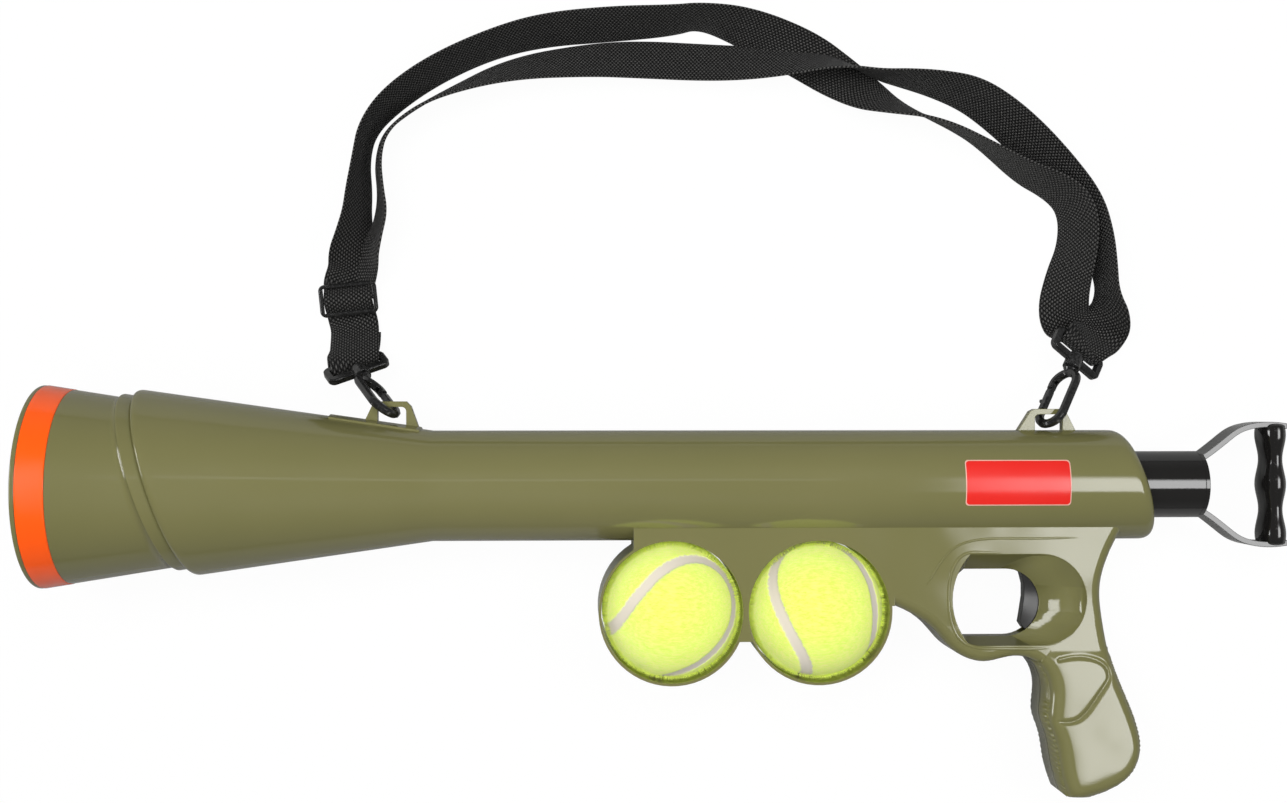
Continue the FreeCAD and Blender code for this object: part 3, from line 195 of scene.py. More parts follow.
class Socket(Enum):
    """Inputs of the surface shader that the finishes set."""

    COLOUR = "Base Color"
    ROUGHNESS = "Roughness"
    METAL = "Metallic"
    SHEEN = "Sheen Weight"
    SHEEN_ROUGHNESS = "Sheen Roughness"
    SPECULAR = "Specular IOR Level"
    GLOW = "Emission Color"
    GLOW_STRENGTH = "Emission Strength"


Colour = tuple[float, float, float]
Field = bpy.types.NodeSocket


def set_range(node: bpy.types.Node, low: float, high: float, to_low: float, to_high: float) -> None:
    """Sets the two ranges of a node that maps one to the other."""
    for socket, number in zip(list(node.inputs)[1:5], (low, high, to_low, to_high)):
        socket.default_value = number


class Shader:
    """A node material that is put together step by step."""

    def __init__(self, name: str) -> None:
        """Starts a material with its surface shader and Object coordinates.

        Args:
            name: the material's name.
        """
        self.material = bpy.data.materials.new(name)
        self.material.use_nodes = True
        self.nodes = self.material.node_tree.nodes
        self.links = self.material.node_tree.links
        self.surface = self.nodes["Principled BSDF"]
        self.place = self.nodes.new("ShaderNodeTexCoord").outputs["Object"]

    def set(self, socket: Socket, value: float | tuple[float, ...]) -> None:
        """Sets one of the surface shader's own sockets."""
        self.surface.inputs[socket.value].default_value = value

    def node(self, kind: str, **values: float | str) -> bpy.types.Node:
        """Adds a node and sets its inputs by name, or its properties.

        Args:
            kind: the node's type name.
            values: input names, with underscores for spaces, or properties.

        Returns:
            The node.
        """
        made = self.nodes.new(kind)
        for name, value in values.items():
            label = name.replace("_", " ")
            if label in made.inputs:
                made.inputs[label].default_value = value
            else:
                setattr(made, name, value)
        return made

    def noise(self, scale: float, detail: float = 2.0, place: Field | None = None,
              rough: float = 0.5) -> Field:
        """A noise field; scale counts its cells in a metre.

        Args:
            scale: cells in a metre.
            detail: how many finer layers it has.
            place: coordinates other than the object's own.
            rough: how strong the finer layers are.

        Returns:
            The field.
        """
        made = self.node("ShaderNodeTexNoise", Scale=scale, Detail=detail, Roughness=rough)
        self.links.new(place or self.place, made.inputs["Vector"])
        return made.outputs["Fac"]

    def stretched(self, scale: tuple[float, float, float],
                  turn: tuple[float, float, float] = (0, 0, 0)) -> Field:
        """Object coordinates scaled by axis, for grain and brush lines.

        Args:
            scale: factors along the three axes.
            turn: turns about them in radians.

        Returns:
            The coordinates.
        """
        made = self.node("ShaderNodeMapping")
        made.inputs["Scale"].default_value = scale
        made.inputs["Rotation"].default_value = turn
        self.links.new(self.place, made.inputs["Vector"])
        return made.outputs["Vector"]

    def ramp(self, value: Field, low: float, high: float, to_low: float = 0.0,
             to_high: float = 1.0) -> Field:
        """Maps a value from one range to another and holds it there.

        Args:
            value: the field.
            low: its range's start.
            high: its range's end.
            to_low: the new range's start.
            to_high: the new range's end.

        Returns:
            The mapped field.
        """
        made = self.node("ShaderNodeMapRange")
        set_range(made, low, high, to_low, to_high)
        made.clamp = True
        self.links.new(value, made.inputs["Value"])
        return made.outputs["Result"]

    def mixed(self, amount: Field, first: Colour | Field,
              second: Colour | Field) -> Field:
        """Mixes two colours by an amount.

        Args:
            amount: 0 for the first colour, 1 for the second.
            first: a colour or its field.
            second: a colour or its field.

        Returns:
            The mixed colour.
        """
        made = self.node("ShaderNodeMix", data_type="RGBA")
        self.links.new(amount, made.inputs["Factor"])
        for socket, colour in ((made.inputs[6], first), (made.inputs[7], second)):
            if isinstance(colour, tuple):
                socket.default_value = (*colour, 1.0)
            else:
                self.links.new(colour, socket)
        return made.outputs[2]

    def math(self, operation: str, first: Field | float,
             second: Field | float = 0.0) -> Field:
        """One arithmetic step on two values.

        Args:
            operation: the step's name.
            first: a number or a field.
            second: a number or a field.

        Returns:
            The result.
        """
        made = self.node("ShaderNodeMath", operation=operation)
        for socket, value in zip(made.inputs, (first, second)):
            if isinstance(value, (int, float)):
                socket.default_value = value
            else:
                self.links.new(value, socket)
        return made.outputs[0]

    def product(self, first: Field | float, *others: Field | float) -> Field:
        """Values multiplied one after the other.

        Args:
            first: a number or a field.
            others: numbers or fields.

        Returns:
            The product.
        """
        for other in others:
            first = self.math("MULTIPLY", first, other)
        return first

    def split(self, place: Field) -> tuple[Field, Field]:
        """The first and second number of a place.

        Args:
            place: the coordinates.

        Returns:
            Two fields.
        """
        made = self.node("ShaderNodeSeparateXYZ")
        self.links.new(place, made.inputs[0])
        return made.outputs["X"], made.outputs["Y"]

    def bump(self, height: Field, distance: float, strength: float = 1.0,
             under: Field | None = None) -> Field:
        """Bump from a height of 0 to 1 over a distance in metres, over another bump.

        Args:
            height: the field of heights.
            distance: metres for a height of 1.
            strength: the share that is used.
            under: the surface direction below it.

        Returns:
            The surface direction.
        """
        made = self.node("ShaderNodeBump", Strength=strength, Distance=distance)
        self.links.new(height, made.inputs["Height"])
        if under is not None:
            self.links.new(under, made.inputs["Normal"])
        return made.outputs["Normal"]

    def soft_edges(self, radius: float) -> Field:
        """Surface direction that rounds sharp edges over a radius in metres.

        Args:
            radius: the rounding's radius in metres.

        Returns:
            The surface direction.
        """
        made = self.node("ShaderNodeBevel", samples=6)
        made.inputs["Radius"].default_value = radius
        return made.outputs["Normal"]

    def wire(self, value: Field, socket: Socket) -> None:
        """Leads a value into the surface shader."""
        self.links.new(value, self.surface.inputs[socket.value])

    def finish(self, normal: Field | None = None) -> bpy.types.Material:
        """Leads in the last bump and returns the material.

        Args:
            normal: the surface direction, where there is bump.

        Returns:
            The material.
        """
        if normal is not None:
            self.links.new(normal, self.surface.inputs["Normal"])
        return self.material


@dataclass(frozen=True)
class Bowl:
    """Hollow of the dish round the finger gap, in metres of the frame.

    Its height over the straight wall is c u^2 / 2 + d v^2 / 2 - s u, for u and v
    from the low spot. It ends at the dish's rim and fades out to both sides.
    """

    low: tuple[float, float] = (0.1832, -0.0185)
    middle: float = 0.1735
    rim: float = 0.0213
    slope: float = 0.9
    curve_x: float = 130.0
    curve_y: float = 5.0
    reach: float = 0.006
    fade: float = 3.5

    def height(self, made: Shader, place: tuple[Field, Field]) -> Field:
        """The height in metres, zero outside the wall.

        Args:
            made: the material in the making.
            place: the two numbers of the place across the table.

        Returns:
            The height's field.
        """
        u = made.math("SUBTRACT", place[0], self.low[0])
        v = made.math("SUBTRACT", place[1], self.low[1])
        height = made.product(made.product(u, u), self.curve_x / 2)
        height = made.math("ADD", height, made.product(made.product(v, v), self.curve_y / 2))
        height = made.math("SUBTRACT", height, made.product(u, self.slope))
        side = made.ramp(made.math("ABSOLUTE", v), self.reach, self.reach * self.fade, 1.0, 0.0)
        across = made.math("ADD", u, self.low[0] - self.middle)
        spread = made.math("ADD", made.product(across, across), made.product(v, v))
        inside = made.math("LESS_THAN", spread, self.rim ** 2)
        return made.product(height, made.product(side, inside))


@dataclass(frozen=True)
class MouldedPlastic:
    """Glossy injection moulded plastic with a slight swirl, orange peel and softened edges.

    The scales count cells of noise in a metre: colour clouds, gloss smears, sink
    marks, long waves and the peel's grain.
    """

    name: str
    colour: Colour
    swirl: Colour
    roughness: float = 0.1
    peel: float = 0.000012
    specular: float = 0.9
    edge: float = 0.0005
    warp: float = 0.0
    lean: float = 0.0
    lean_start: tuple[float, float] = (0.125, -0.03)
    lean_run: float = 0.02
    bowl: Bowl | None = None
    clouds: float = 9.0
    smears: float = 38.0
    sinks: float = 26.0
    waves: float = 55.0
    grain: float = 900.0

    def warped(self, made: Shader) -> Field:
        """Soft edges, under them the wide sink marks of a flat wall and the grip's lean.

        Args:
            made: the material in the making.

        Returns:
            The surface direction; below the lean's start the wall rises by lean metres in a metre.
        """
        normal = made.soft_edges(self.edge)
        if self.warp:
            normal = made.bump(made.noise(self.sinks, 1.0), self.warp, 1.0, normal)
        if self.lean:
            x, y = place = made.split(made.place)
            if self.bowl:
                normal = made.bump(self.bowl.height(made, place), 1.0, 1.0, normal)
            below = made.math("MAXIMUM", made.math("SUBTRACT", self.lean_start[1], y), 0.0)
            behind = made.ramp(x, self.lean_start[0], self.lean_start[0] + self.lean_run)
            normal = made.bump(made.product(below, behind), self.lean, 1.0, normal)
        return normal

    def material(self) -> bpy.types.Material:
        """Colour drifts in wide clouds, gloss in small ones; the bump is a low orange peel.

        Returns:
            The material.
        """
        made = Shader(self.name)
        cloud = made.ramp(made.noise(self.clouds, 3.0), 0.35, 0.68)
        made.wire(made.mixed(cloud, self.colour, self.swirl), Socket.COLOUR)
        smear = made.ramp(made.noise(self.smears, 5.0), 0.3, 0.75, self.roughness * 0.82,
                          self.roughness * 1.25)
        made.wire(smear, Socket.ROUGHNESS)
        made.set(Socket.SPECULAR, self.specular)
        wave = made.bump(made.noise(self.waves, 1.0), self.peel * 6, 0.5, self.warped(made))
        return made.finish(made.bump(made.noise(self.grain, 1.0), self.peel, 0.6, wave))


@dataclass(frozen=True)
class PaintedMetal:
    """Black plated casting with thin spots along its edges."""

    name: str
    colour: Colour
    worn: Colour
    roughness: float = 0.16
    metal: float = 0.3
    edge: float = 0.0005
    rub: float = 700.0
    smears: float = 260.0
    grain: float = 1500.0

    def material(self) -> bpy.types.Material:
        """Worn colour shows where a fine noise meets a sharp edge.

        Returns:
            The material.
        """
        made = Shader(self.name)
        edge = made.node("ShaderNodeNewGeometry").outputs["Pointiness"]
        patches = made.ramp(made.noise(self.rub, 4.0), 0.4, 0.65)
        rubbed = made.product(made.ramp(edge, 0.52, 0.6), patches)
        made.wire(made.mixed(rubbed, self.colour, self.worn), Socket.COLOUR)
        smear = made.ramp(made.noise(self.smears, 5.0), 0.3, 0.7, self.roughness * 0.8, self.roughness * 1.4)
        made.wire(smear, Socket.ROUGHNESS)
        made.set(Socket.METAL, self.metal)
        made.set(Socket.SPECULAR, 1.0)
        return made.finish(made.bump(made.noise(self.grain, 3.0), 0.00002, 0.4, made.soft_edges(self.edge)))


@dataclass(frozen=True)
class BareSteel:
    """Drawn or turned steel with fine lines."""

    name: str
    colour: Colour
    roughness: float = 0.3
    lines: tuple[float, float, float] = (60, 2400, 2400)

    def material(self) -> bpy.types.Material:
        """Fine lines come from a noise that is squeezed along the barrel.

        Returns:
            The material.
        """
        made = Shader(self.name)
        lines = made.noise(1.0, 2.0, made.stretched(self.lines))
        darker = tuple(0.75 * part for part in self.colour)
        made.wire(made.mixed(made.ramp(lines, 0.3, 0.7), self.colour, darker), Socket.COLOUR)
        made.wire(made.ramp(lines, 0.3, 0.7, self.roughness * 0.8, self.roughness * 1.3), Socket.ROUGHNESS)
        made.set(Socket.METAL, 1.0)
        return made.finish(made.bump(lines, 0.00001, 0.5))


@dataclass(frozen=True)
class Webbing:
    """Woven strap: rows of raised picks that step sideways from row to row, with a painted highlight on their
    tops.
    """

    name: str
    colour: Colour
    painted_highlight: Colour
    pick: float = 0.0019
    end: float = 0.00125
    fibres: float = 5200.0

    def material(self) -> bpy.types.Material:
        """Height is |sin| along times |sin| across, with each second row half a step on; the colour is
        lightened towards the highest parts as a painted highlight.

        Returns:
            The material.
        """
        made = Shader(self.name)
        u, v = made.split(made.node("ShaderNodeUVMap", uv_map="Surface").outputs["UV"])
        along, across = made.math("DIVIDE", u, self.pick), made.math("DIVIDE", v, self.end)
        odd = made.math("MODULO", made.math("FLOOR", across), 2.0)
        shifted = made.math("ADD", along, made.product(odd, 0.5))
        bump_along, bump_across = (made.math("ABSOLUTE", made.math("SINE", made.product(run, math.pi)))
                                   for run in (shifted, across))
        height = made.product(bump_along, made.math("POWER", bump_across, 0.6))
        fibre = made.noise(self.fibres, 2.0)
        # Painted highlight: the colour lightens towards the picks' tops, broken up by the fibre noise.
        highlight_share = made.product(made.math("POWER", height, 3.0), made.ramp(fibre, 0.3, 0.65))
        made.wire(made.mixed(highlight_share, self.colour, self.painted_highlight), Socket.COLOUR)
        made.set(Socket.ROUGHNESS, 0.62)
        made.set(Socket.SPECULAR, 0.4)
        made.set(Socket.SHEEN, 0.06)
        made.set(Socket.SHEEN_ROUGHNESS, 0.4)
        weave = made.bump(height, 0.0005, 0.9)
        return made.finish(made.bump(fibre, 0.0001, 0.5, weave))


@dataclass(frozen=True)
class BallFelt:
    """Yellow-green felt with a pale bare seam, by the attribute of distance to the seam, and a painted glow
    on the felt.
    """

    name: str
    colour: Colour
    shade: Colour
    seam: Colour
    # Painted glow: the felt gives off this colour itself, lit or not.
    glow: Colour
    half_seam: float = 0.0029
    ragged: float = 0.0006
    strands: tuple[float, float, float] = (260, 900, 900)
    strand_turn: tuple[float, float, float] = (0.2, 0.3, 0.7)

    def material(self) -> bpy.types.Material:
        """Felt is cloudy at two scales; within half a seam's width the rubber shows. Away from the seam the
        felt gives off a painted glow.

        Returns:
            The material.
        """
        made = Shader(self.name)
        strands = made.noise(1.0, 4.0, made.stretched(self.strands, self.strand_turn), 0.7)
        clumps = made.ramp(strands, 0.32, 0.62)
        felt = made.mixed(clumps, self.shade, self.colour)
        distance = made.node("ShaderNodeAttribute", attribute_name="seam_distance").outputs["Fac"]
        shift = made.ramp(made.noise(650.0, 3.0), 0.2, 0.8, -self.ragged, self.ragged)
        ragged = made.math("ADD", distance, shift)
        bare = made.ramp(ragged, self.half_seam * 0.8, self.half_seam * 1.15, 1.0, 0.0)
        made.wire(made.mixed(bare, felt, self.seam), Socket.COLOUR)
        made.set(Socket.ROUGHNESS, 0.92)
        made.set(Socket.SPECULAR, 0.2)
        made.set(Socket.SHEEN, 0.5)
        made.set(Socket.SHEEN_ROUGHNESS, 0.6)
        # Painted glow: the felt, though no lamp, gives off light everywhere but on the bare seam.
        made.wire(made.mixed(bare, self.glow, (0.0, 0.0, 0.0)), Socket.GLOW)
        made.set(Socket.GLOW_STRENGTH, 1.0)
        fuzz = made.product(made.noise(1500.0, 5.0, rough=0.75), made.math("SUBTRACT", 1.0, bare))
        return made.finish(made.bump(fuzz, 0.0009, 0.8))


Finish = MouldedPlastic | PaintedMetal | BareSteel

OLIVE = MouldedPlastic("olive_plastic", (0.162, 0.154, 0.062), (0.15, 0.145, 0.056))
OLIVE_WALL = MouldedPlastic("olive_flat_wall", (0.162, 0.154, 0.062), (0.15, 0.145, 0.056), warp=0.0016,
                            lean=0.085, bowl=Bowl())
ORANGE = MouldedPlastic("orange_plastic", (1.0, 0.108, 0.003), (0.95, 0.096, 0.003), 0.16)
BLACK_GLOSS = MouldedPlastic("black_gloss_plastic", (0.008, 0.0075, 0.007), (0.011, 0.0105, 0.01), 0.08,
                             specular=1.0)
TRIGGER_PLASTIC = MouldedPlastic("trigger_plastic", (0.008, 0.0075, 0.007), (0.013, 0.0125, 0.012), 0.22,
                                 specular=0.8, warp=0.0045, lean=-0.05, lean_start=(0.1, 0.05))
INNER_PLASTIC = MouldedPlastic("inner_plastic", (0.09, 0.09, 0.085), (0.11, 0.11, 0.1), 0.45, specular=0.5)
FOAM = MouldedPlastic("striker_foam", (0.03, 0.03, 0.03), (0.045, 0.045, 0.045), 0.85, 0.0002, 0.3)
RED_FILM = MouldedPlastic("red_sticker_film", (0.7, 0.022, 0.016), (0.65, 0.018, 0.013), 0.2, specular=0.6)
PALE_FILM = MouldedPlastic("sticker_edge_film", (0.72, 0.4, 0.33), (0.68, 0.36, 0.3), 0.3, specular=0.5)
HOOK_METAL = PaintedMetal("hook_metal", (0.007, 0.007, 0.007), (0.035, 0.035, 0.035), 0.14, 0.0)
SCREW_STEEL = BareSteel("screw_steel", (0.55, 0.55, 0.56))
SPRING_STEEL = BareSteel("spring_steel", (0.45, 0.45, 0.46), 0.35)
# The webbing's second colour is its painted highlight on the picks' tops.
WEBBING = Webbing("strap_webbing", (0.002, 0.002, 0.002), (0.13, 0.127, 0.122))
# The felt's last colour is its painted glow.
FELT = BallFelt("ball_felt", (0.84, 0.93, 0.2), (0.66, 0.82, 0.05), (0.66, 0.6, 0.5), (0.13, 0.17, 0.01))


# The photograph's view.


@dataclass
class PhotoView:
    """Camera straight above the launcher.

    Its focal length is 1600 of the photograph's 1287 pixels across.
    """

    place: tuple[float, float, float] = (-0.0132, 0.07493, 0.79545)
    pixels_across: float = 1287.0
    focal_pixels: float = 1600.0

    def build(self) -> None:
        """Makes the camera and hands it to the scene."""
        lens = bpy.data.cameras.new("photo_view")
        lens.sensor_width = 36.0
        lens.lens = self.focal_pixels / self.pixels_across * lens.sensor_width
        lens.clip_start = 0.01
        camera = bpy.data.objects.new("photo_view", lens)
        camera.location = self.place
        bpy.context.scene.collection.objects.link(camera)
        bpy.context.scene.camera = camera


# The strap.

OUTER_ROUTE = ((-156.5, 140.5, -12, 1.9), (-156.5, 148.5, -30, 1.5), (-155, 156.5, -50, 0.8),
               (-153.5, 167.5, -65, 0), (-152.5, 178.5, -68, 0), (-151.5, 194, -80, 0),
               (-148.5, 208.5, -78, 0), (-137, 222.5, -69, 0), (-116.5, 237, -67, 0),
               (-89.5, 249.5, -67, 0), (-63, 257, -61, 0), (-29, 260, -58, 0), (0.5, 261.5, -65, 0),
               (14.5, 264, -73, 0), (36.5, 259, -49, 0), (66, 246.5, -16, 0), (82.5, 236, 10, 0),
               (96.5, 226, 34, 0), (109, 220, 60, 0), (126, 214.5, 80, 0), (139.5, 209, 86, 0),
               (152, 202, 90, 0), (173.5, 187, 109, 0), (186, 181.5, 115, 0), (195, 175.5, 122, 0),
               (199.5, 168, 128, 0), (200.5, 158.5, 130, 0), (199, 147.5, 132, 0),
               (196, 136.5, 142, 0), (194, 125, 152, 0), (195.5, 115, 180, 0))
INNER_ROUTE = ((-154, 141.5, 18, 0), (-149.5, 148.5, 38, 0), (-144.5, 156.5, 66, 0),
               (-141.5, 167.5, 68, 0), (-142, 178.5, 76, 0), (-143.5, 193, 75, 0), (-140, 207, 75, 0),
               (-126.5, 218, 79, 0), (-110, 226.5, 74, 0), (-78, 238.5, 53, 0), (-40, 243, 38, 0),
               (-14.5, 243.5, 30, 0), (14.5, 242, 31, 0), (35.5, 241.5, 36, 0), (55.5, 241.5, 45, 1.9),
               (76, 241.5, 62, 1.9), (90, 238.5, 78, 1.9), (102, 235, 90, 1.5), (114, 233.5, 100, 0),
               (131, 230.5, 112, 0), (147, 226, 126, 0), (160.5, 217.5, 134, 0),
               (175.5, 204.5, 137, 0), (190.5, 188, 136, 0), (203, 172, 130, 0), (209, 155.5, 118, 0),
               (212.5, 140.5, 105, 0), (214, 128, 100, 0), (216, 117.5, 130, 0),
               (213.5, 107.5, 175, 0))
FRONT_TAIL = ((-156, 108.5, 0, 1.9), (-156.5, 112.5, 0, 0.6), (-157.5, 116, 0, 0))
FRONT_HEM = ((-155.5, 109.5, 0, 0), (-155.5, 103.5, 0, 0))


@dataclass(frozen=True)
class HookFrame:
    """Origin of a snap hook in millimetres, and the directions along it and across its base."""

    origin: tuple[float, float, float]
    along: tuple[float, float, float]
    base_side: tuple[float, float, float]

    def place(self, spots: np.ndarray) -> np.ndarray:
        """Points from places along, across and through, in millimetres, to the frame's metres.

        Args:
            spots: rows of along, across and through.

        Returns:
            Rows of points.
        """
        u, v = np.array(self.along), np.array(self.base_side)
        w = np.cross(u, v)
        spots = np.asarray(spots, float)
        mm = np.array(self.origin) + spots[..., :1] * u + spots[..., 1:2] * v + spots[..., 2:3] * w
        return mm * MILLIMETRE


FRONT_HOOK = HookFrame((-135.3979, 72.9857, 41.0643), (-0.482474, 0.490969, -0.725374),
                       (-0.873796, -0.327296, 0.359664))
REAR_HOOK = HookFrame((182.606, 69.1606, 27.2033), (0.446287, 0.78881, -0.422618),
                      (-0.763449, 0.581988, 0.280065))


@dataclass
class Strap:
    """Two runs of webbing that hang together at the slider and the rear base."""

    width: float = 24.0
    thick: float = 1.6
    clear: float = 0.2
    gap: float = 0.35
    base_high: float = 43.4
    base_bar: float = 3.3
    base_thick: float = 3.6
    slider_length: float = 16.2
    slider_bar: float = 1.9
    slider_core: float = 1.4
    slider_x: float = -159.0
    slider_y: float = 125.5
    slider_turn: float = 6.0
    section_points: int = 28
    side_roundness: float = 0.35
    face_roundness: float = 0.55
    weave_start: float = 0.02

    def route(self, points: tuple[tuple[float, ...], ...]) -> tuple[np.ndarray, np.ndarray]:
        """Middles and directions across for route points (x, y, lean, lift).

        A leaning strap stands on its lower edge: its middle is half its width
        times sin(lean), plus half its thickness times cos(lean), above the floor.

        Args:
            points: the route's rows in millimetres and degrees.

        Returns:
            Control points in metres, and the unit directions across the webbing.
        """
        x, y, lean, lift = np.array(points, float).T
        spots = np.stack([x, y], -1)
        ahead = np.vstack([spots[1:], spots[-1:]]) - np.vstack([spots[:1], spots[:-1]])
        ahead /= np.linalg.norm(ahead, axis=1)[:, None]
        rise, run = np.abs(np.sin(np.radians(lean))), np.abs(np.cos(np.radians(lean)))
        height = self.width / 2 * rise + self.thick / 2 * run + self.clear + lift
        across = np.stack([ahead[:, 1] * np.cos(np.radians(lean)), -ahead[:, 0] * np.cos(np.radians(lean)),
                           np.sin(np.radians(lean))], -1)
        return np.stack([x, y, height], -1) * MILLIMETRE, across

    def at_base(self, hook: HookFrame, spots: tuple) -> tuple[np.ndarray, np.ndarray]:
        """Control points beside a swivel base's bar, from pairs of along and through.

        Args:
            hook: the hook's directions.
            spots: the pairs in millimetres.

        Returns:
            Control points in metres, and the unit directions across the webbing.
        """
        pairs = np.array(spots, float)
        points = hook.place(np.stack([pairs[:, 0], 0 * pairs[:, 0], pairs[:, 1]], -1))
        return points, np.repeat([hook.base_side], len(pairs), axis=0)

    def at_slider(self, spots: tuple) -> tuple[np.ndarray, np.ndarray]:
        """Control points inside the slider, from pairs of its own y and the height.

        Args:
            spots: the pairs in millimetres.

        Returns:
            Control points in metres, and the unit directions across the webbing.
        """
        turn = math.radians(self.slider_turn)
        pairs = np.array(spots, float)
        points = np.stack([self.slider_x - math.sin(turn) * pairs[:, 0],
                           self.slider_y + math.cos(turn) * pairs[:, 0], pairs[:, 1]], -1)
        across = np.repeat([[math.cos(turn), math.sin(turn), 0.0]], len(pairs), axis=0)
        return points * MILLIMETRE, across

    def levels(self) -> tuple[float, float, float]:
        """Heights of the webbing's middle under, level with and over the slider's bar.

        Returns:
            Three heights in millimetres.
        """
        low = self.thick / 2 + self.clear
        high = low + self.thick + self.clear / 2
        return low, high, high + self.thick + 3 * self.clear + self.slider_core

    def bar_places(self) -> tuple[float, float, float, float, float]:
        """Reach round a base's bar, its part at 45 degrees, the near and far bar, half their height."""
        reach = self.gap + self.thick / 2
        return (reach, reach * math.sqrt(0.5), self.base_high - self.base_bar, self.base_high,
                self.base_thick / 2)

    def round_bars(self, side: int) -> np.ndarray:
        """Places (along, through) that lead over a base's bars, or under them with a side of -1."""
        reach, diagonal, near, far, top = self.bar_places()
        return np.array([(near - reach, 0), (near - reach, side * top),
                         (near - diagonal, side * (top + diagonal)), (near, side * (top + reach)),
                         (far, side * (top + reach))])

    def outer_rows(self) -> tuple[np.ndarray, np.ndarray]:
        """The whole outer run: hem, front base, slider, long way round and rear base.

        Returns:
            Control points in metres, and the unit directions across the webbing.
        """
        reach, diagonal, near, far, top = self.bar_places()
        under = self.round_bars(-1)
        far_side = ((far + diagonal, -top - diagonal), (far + reach, -top), (far + reach, 0))
        hem = np.vstack([[(near - reach, 2 * top)], under[1:], far_side])
        low, high, crown = self.levels()
        bar = (self.slider_length - self.slider_bar) / 2
        inside = bar - self.slider_bar / 2 - self.gap
        passage = ((-bar, low), (-inside, high), (-self.slider_bar, crown), (self.slider_bar, crown),
                   (inside, high), (bar, high))
        return stacked(self.route(FRONT_HEM), self.at_base(FRONT_HOOK, hem[::-1]), self.route(FRONT_TAIL),
                       self.at_slider(passage), self.route(OUTER_ROUTE), self.at_base(REAR_HOOK, under[::-1]))

    def inner_rows(self) -> tuple[np.ndarray, np.ndarray]:
        """The inner run, from the seam at the slider's bar to the rear base.

        Returns:
            Control points in metres, and the unit directions across the webbing.
        """
        low, high, _ = self.levels()
        bar = (self.slider_length - self.slider_bar) / 2
        return stacked(self.at_slider(((0, high), (self.slider_bar, high), (bar, low))),
                       self.route(INNER_ROUTE), self.at_base(REAR_HOOK, self.round_bars(1)[::-1]))

    def ribbon(self, name: str, rows: tuple[np.ndarray, np.ndarray]) -> tuple[bpy.types.Object, np.ndarray]:
        """Webbing along the smooth spline of its control points.

        The section is a flat oval, (w/2 sign(cos a) |cos a|^m, t/2 sign(sin a) |sin a|^n),
        set square to the spline; its direction across comes from a second spline.

        Args:
            name: the piece's name.
            rows: control points and directions across.

        Returns:
            The piece, and the points of its middle line.
        """
        middles, across = rows
        across = aligned(across)
        line = spline_points(name + "_line", middles)
        side = spline_points(name + "_side", across)
        ahead = np.gradient(line, axis=0)
        ahead /= np.linalg.norm(ahead, axis=1)[:, None]
        side = side - np.sum(side * ahead, axis=1)[:, None] * ahead
        side /= np.linalg.norm(side, axis=1)[:, None]
        face = np.cross(ahead, side)
        angle = np.linspace(0, 2 * math.pi, self.section_points, endpoint=False)
        wide = np.sign(np.cos(angle)) * np.abs(np.cos(angle)) ** self.side_roundness * self.width / 2
        deep = np.sign(np.sin(angle)) * np.abs(np.sin(angle)) ** self.face_roundness * self.thick / 2
        points = (line[:, None] + side[:, None] * wide[None, :, None] * MILLIMETRE
                  + face[:, None] * deep[None, :, None] * MILLIMETRE)
        made = linked(name, grid_mesh(name, points, around=True, caps=True))
        self.lay_weave(made.data, line, wide)
        return made, line

    def lay_weave(self, mesh: bpy.types.Mesh, line: np.ndarray, wide: np.ndarray) -> None:
        """Gives the webbing a UV map in metres: length along it, place across it.

        Args:
            mesh: the webbing's mesh.
            line: points of its middle line.
            wide: places across of the section's points.
        """
        run = np.concatenate([[0], np.cumsum(np.linalg.norm(np.diff(line, axis=0), axis=1))])
        vertex = np.zeros(len(mesh.loops), np.int32)
        mesh.loops.foreach_get("vertex_index", vertex)
        row, column = np.divmod(vertex, self.section_points)
        uv = np.stack([run[row], wide[column] * MILLIMETRE + self.weave_start], -1)
        mesh.uv_layers["Surface"].data.foreach_set("uv", uv.astype(np.float32).ravel())

    def build(self) -> None:
        woven = WEBBING.material()
        for name, rows, start in (("strap_outer_webbing", self.outer_rows(), FRONT_HOOK),
                                  ("strap_inner_webbing", self.inner_rows(), REAR_HOOK)):
            piece, line = self.ribbon(name, rows)
            dress(piece, woven)
            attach(piece, "housing")
            outer = start is FRONT_HOOK
            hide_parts("strap_outer_run" if outer else "strap_inner_run")


def stacked(*rows: tuple[np.ndarray, np.ndarray]) -> tuple[np.ndarray, np.ndarray]:
    """Joins stretches of control rows end to end."""
    return np.vstack([row[0] for row in rows]), np.vstack([row[1] for row in rows])


def aligned(across: np.ndarray) -> np.ndarray:
    """Turns each direction across to the side of the one before it.

    Args:
        across: rows of directions.

    Returns:
        The same rows, some of them reversed.
    """
    agree = np.sign(np.sum(across[1:] * across[:-1], axis=1))
    agree[agree == 0] = 1
    return across * np.concatenate([[1], np.cumprod(agree)])[:, None]


def spline_points(name: str, controls: np.ndarray, steps: int = 8) -> np.ndarray:
    """Points of the smooth spline whose control points are given.

    Args:
        name: a name for the curve while it is read.
        controls: rows of three numbers.
        steps: points from one control point to the next.

    Returns:
        The spline's points in order.
    """
    curve = bpy.data.curves.new(name, "CURVE")
    curve.dimensions = "3D"
    curve.resolution_u = steps
    spline = curve.splines.new("NURBS")
    spline.points.add(len(controls) - 1)
    spline.points.foreach_set("co", np.hstack([controls, np.ones((len(controls), 1))]).ravel())
    spline.order_u = 3
    spline.use_endpoint_u = True
    holder = bpy.data.objects.new(name, curve)
    bpy.context.scene.collection.objects.link(holder)
    bpy.context.view_layer.update()
    read = bpy.data.meshes.new_from_object(holder)
    points = np.zeros(len(read.vertices) * 3)
    read.vertices.foreach_get("co", points)
    bpy.data.objects.remove(holder)
    bpy.data.meshes.remove(read)
    bpy.data.curves.remove(curve)
    return points.reshape(-1, 3)


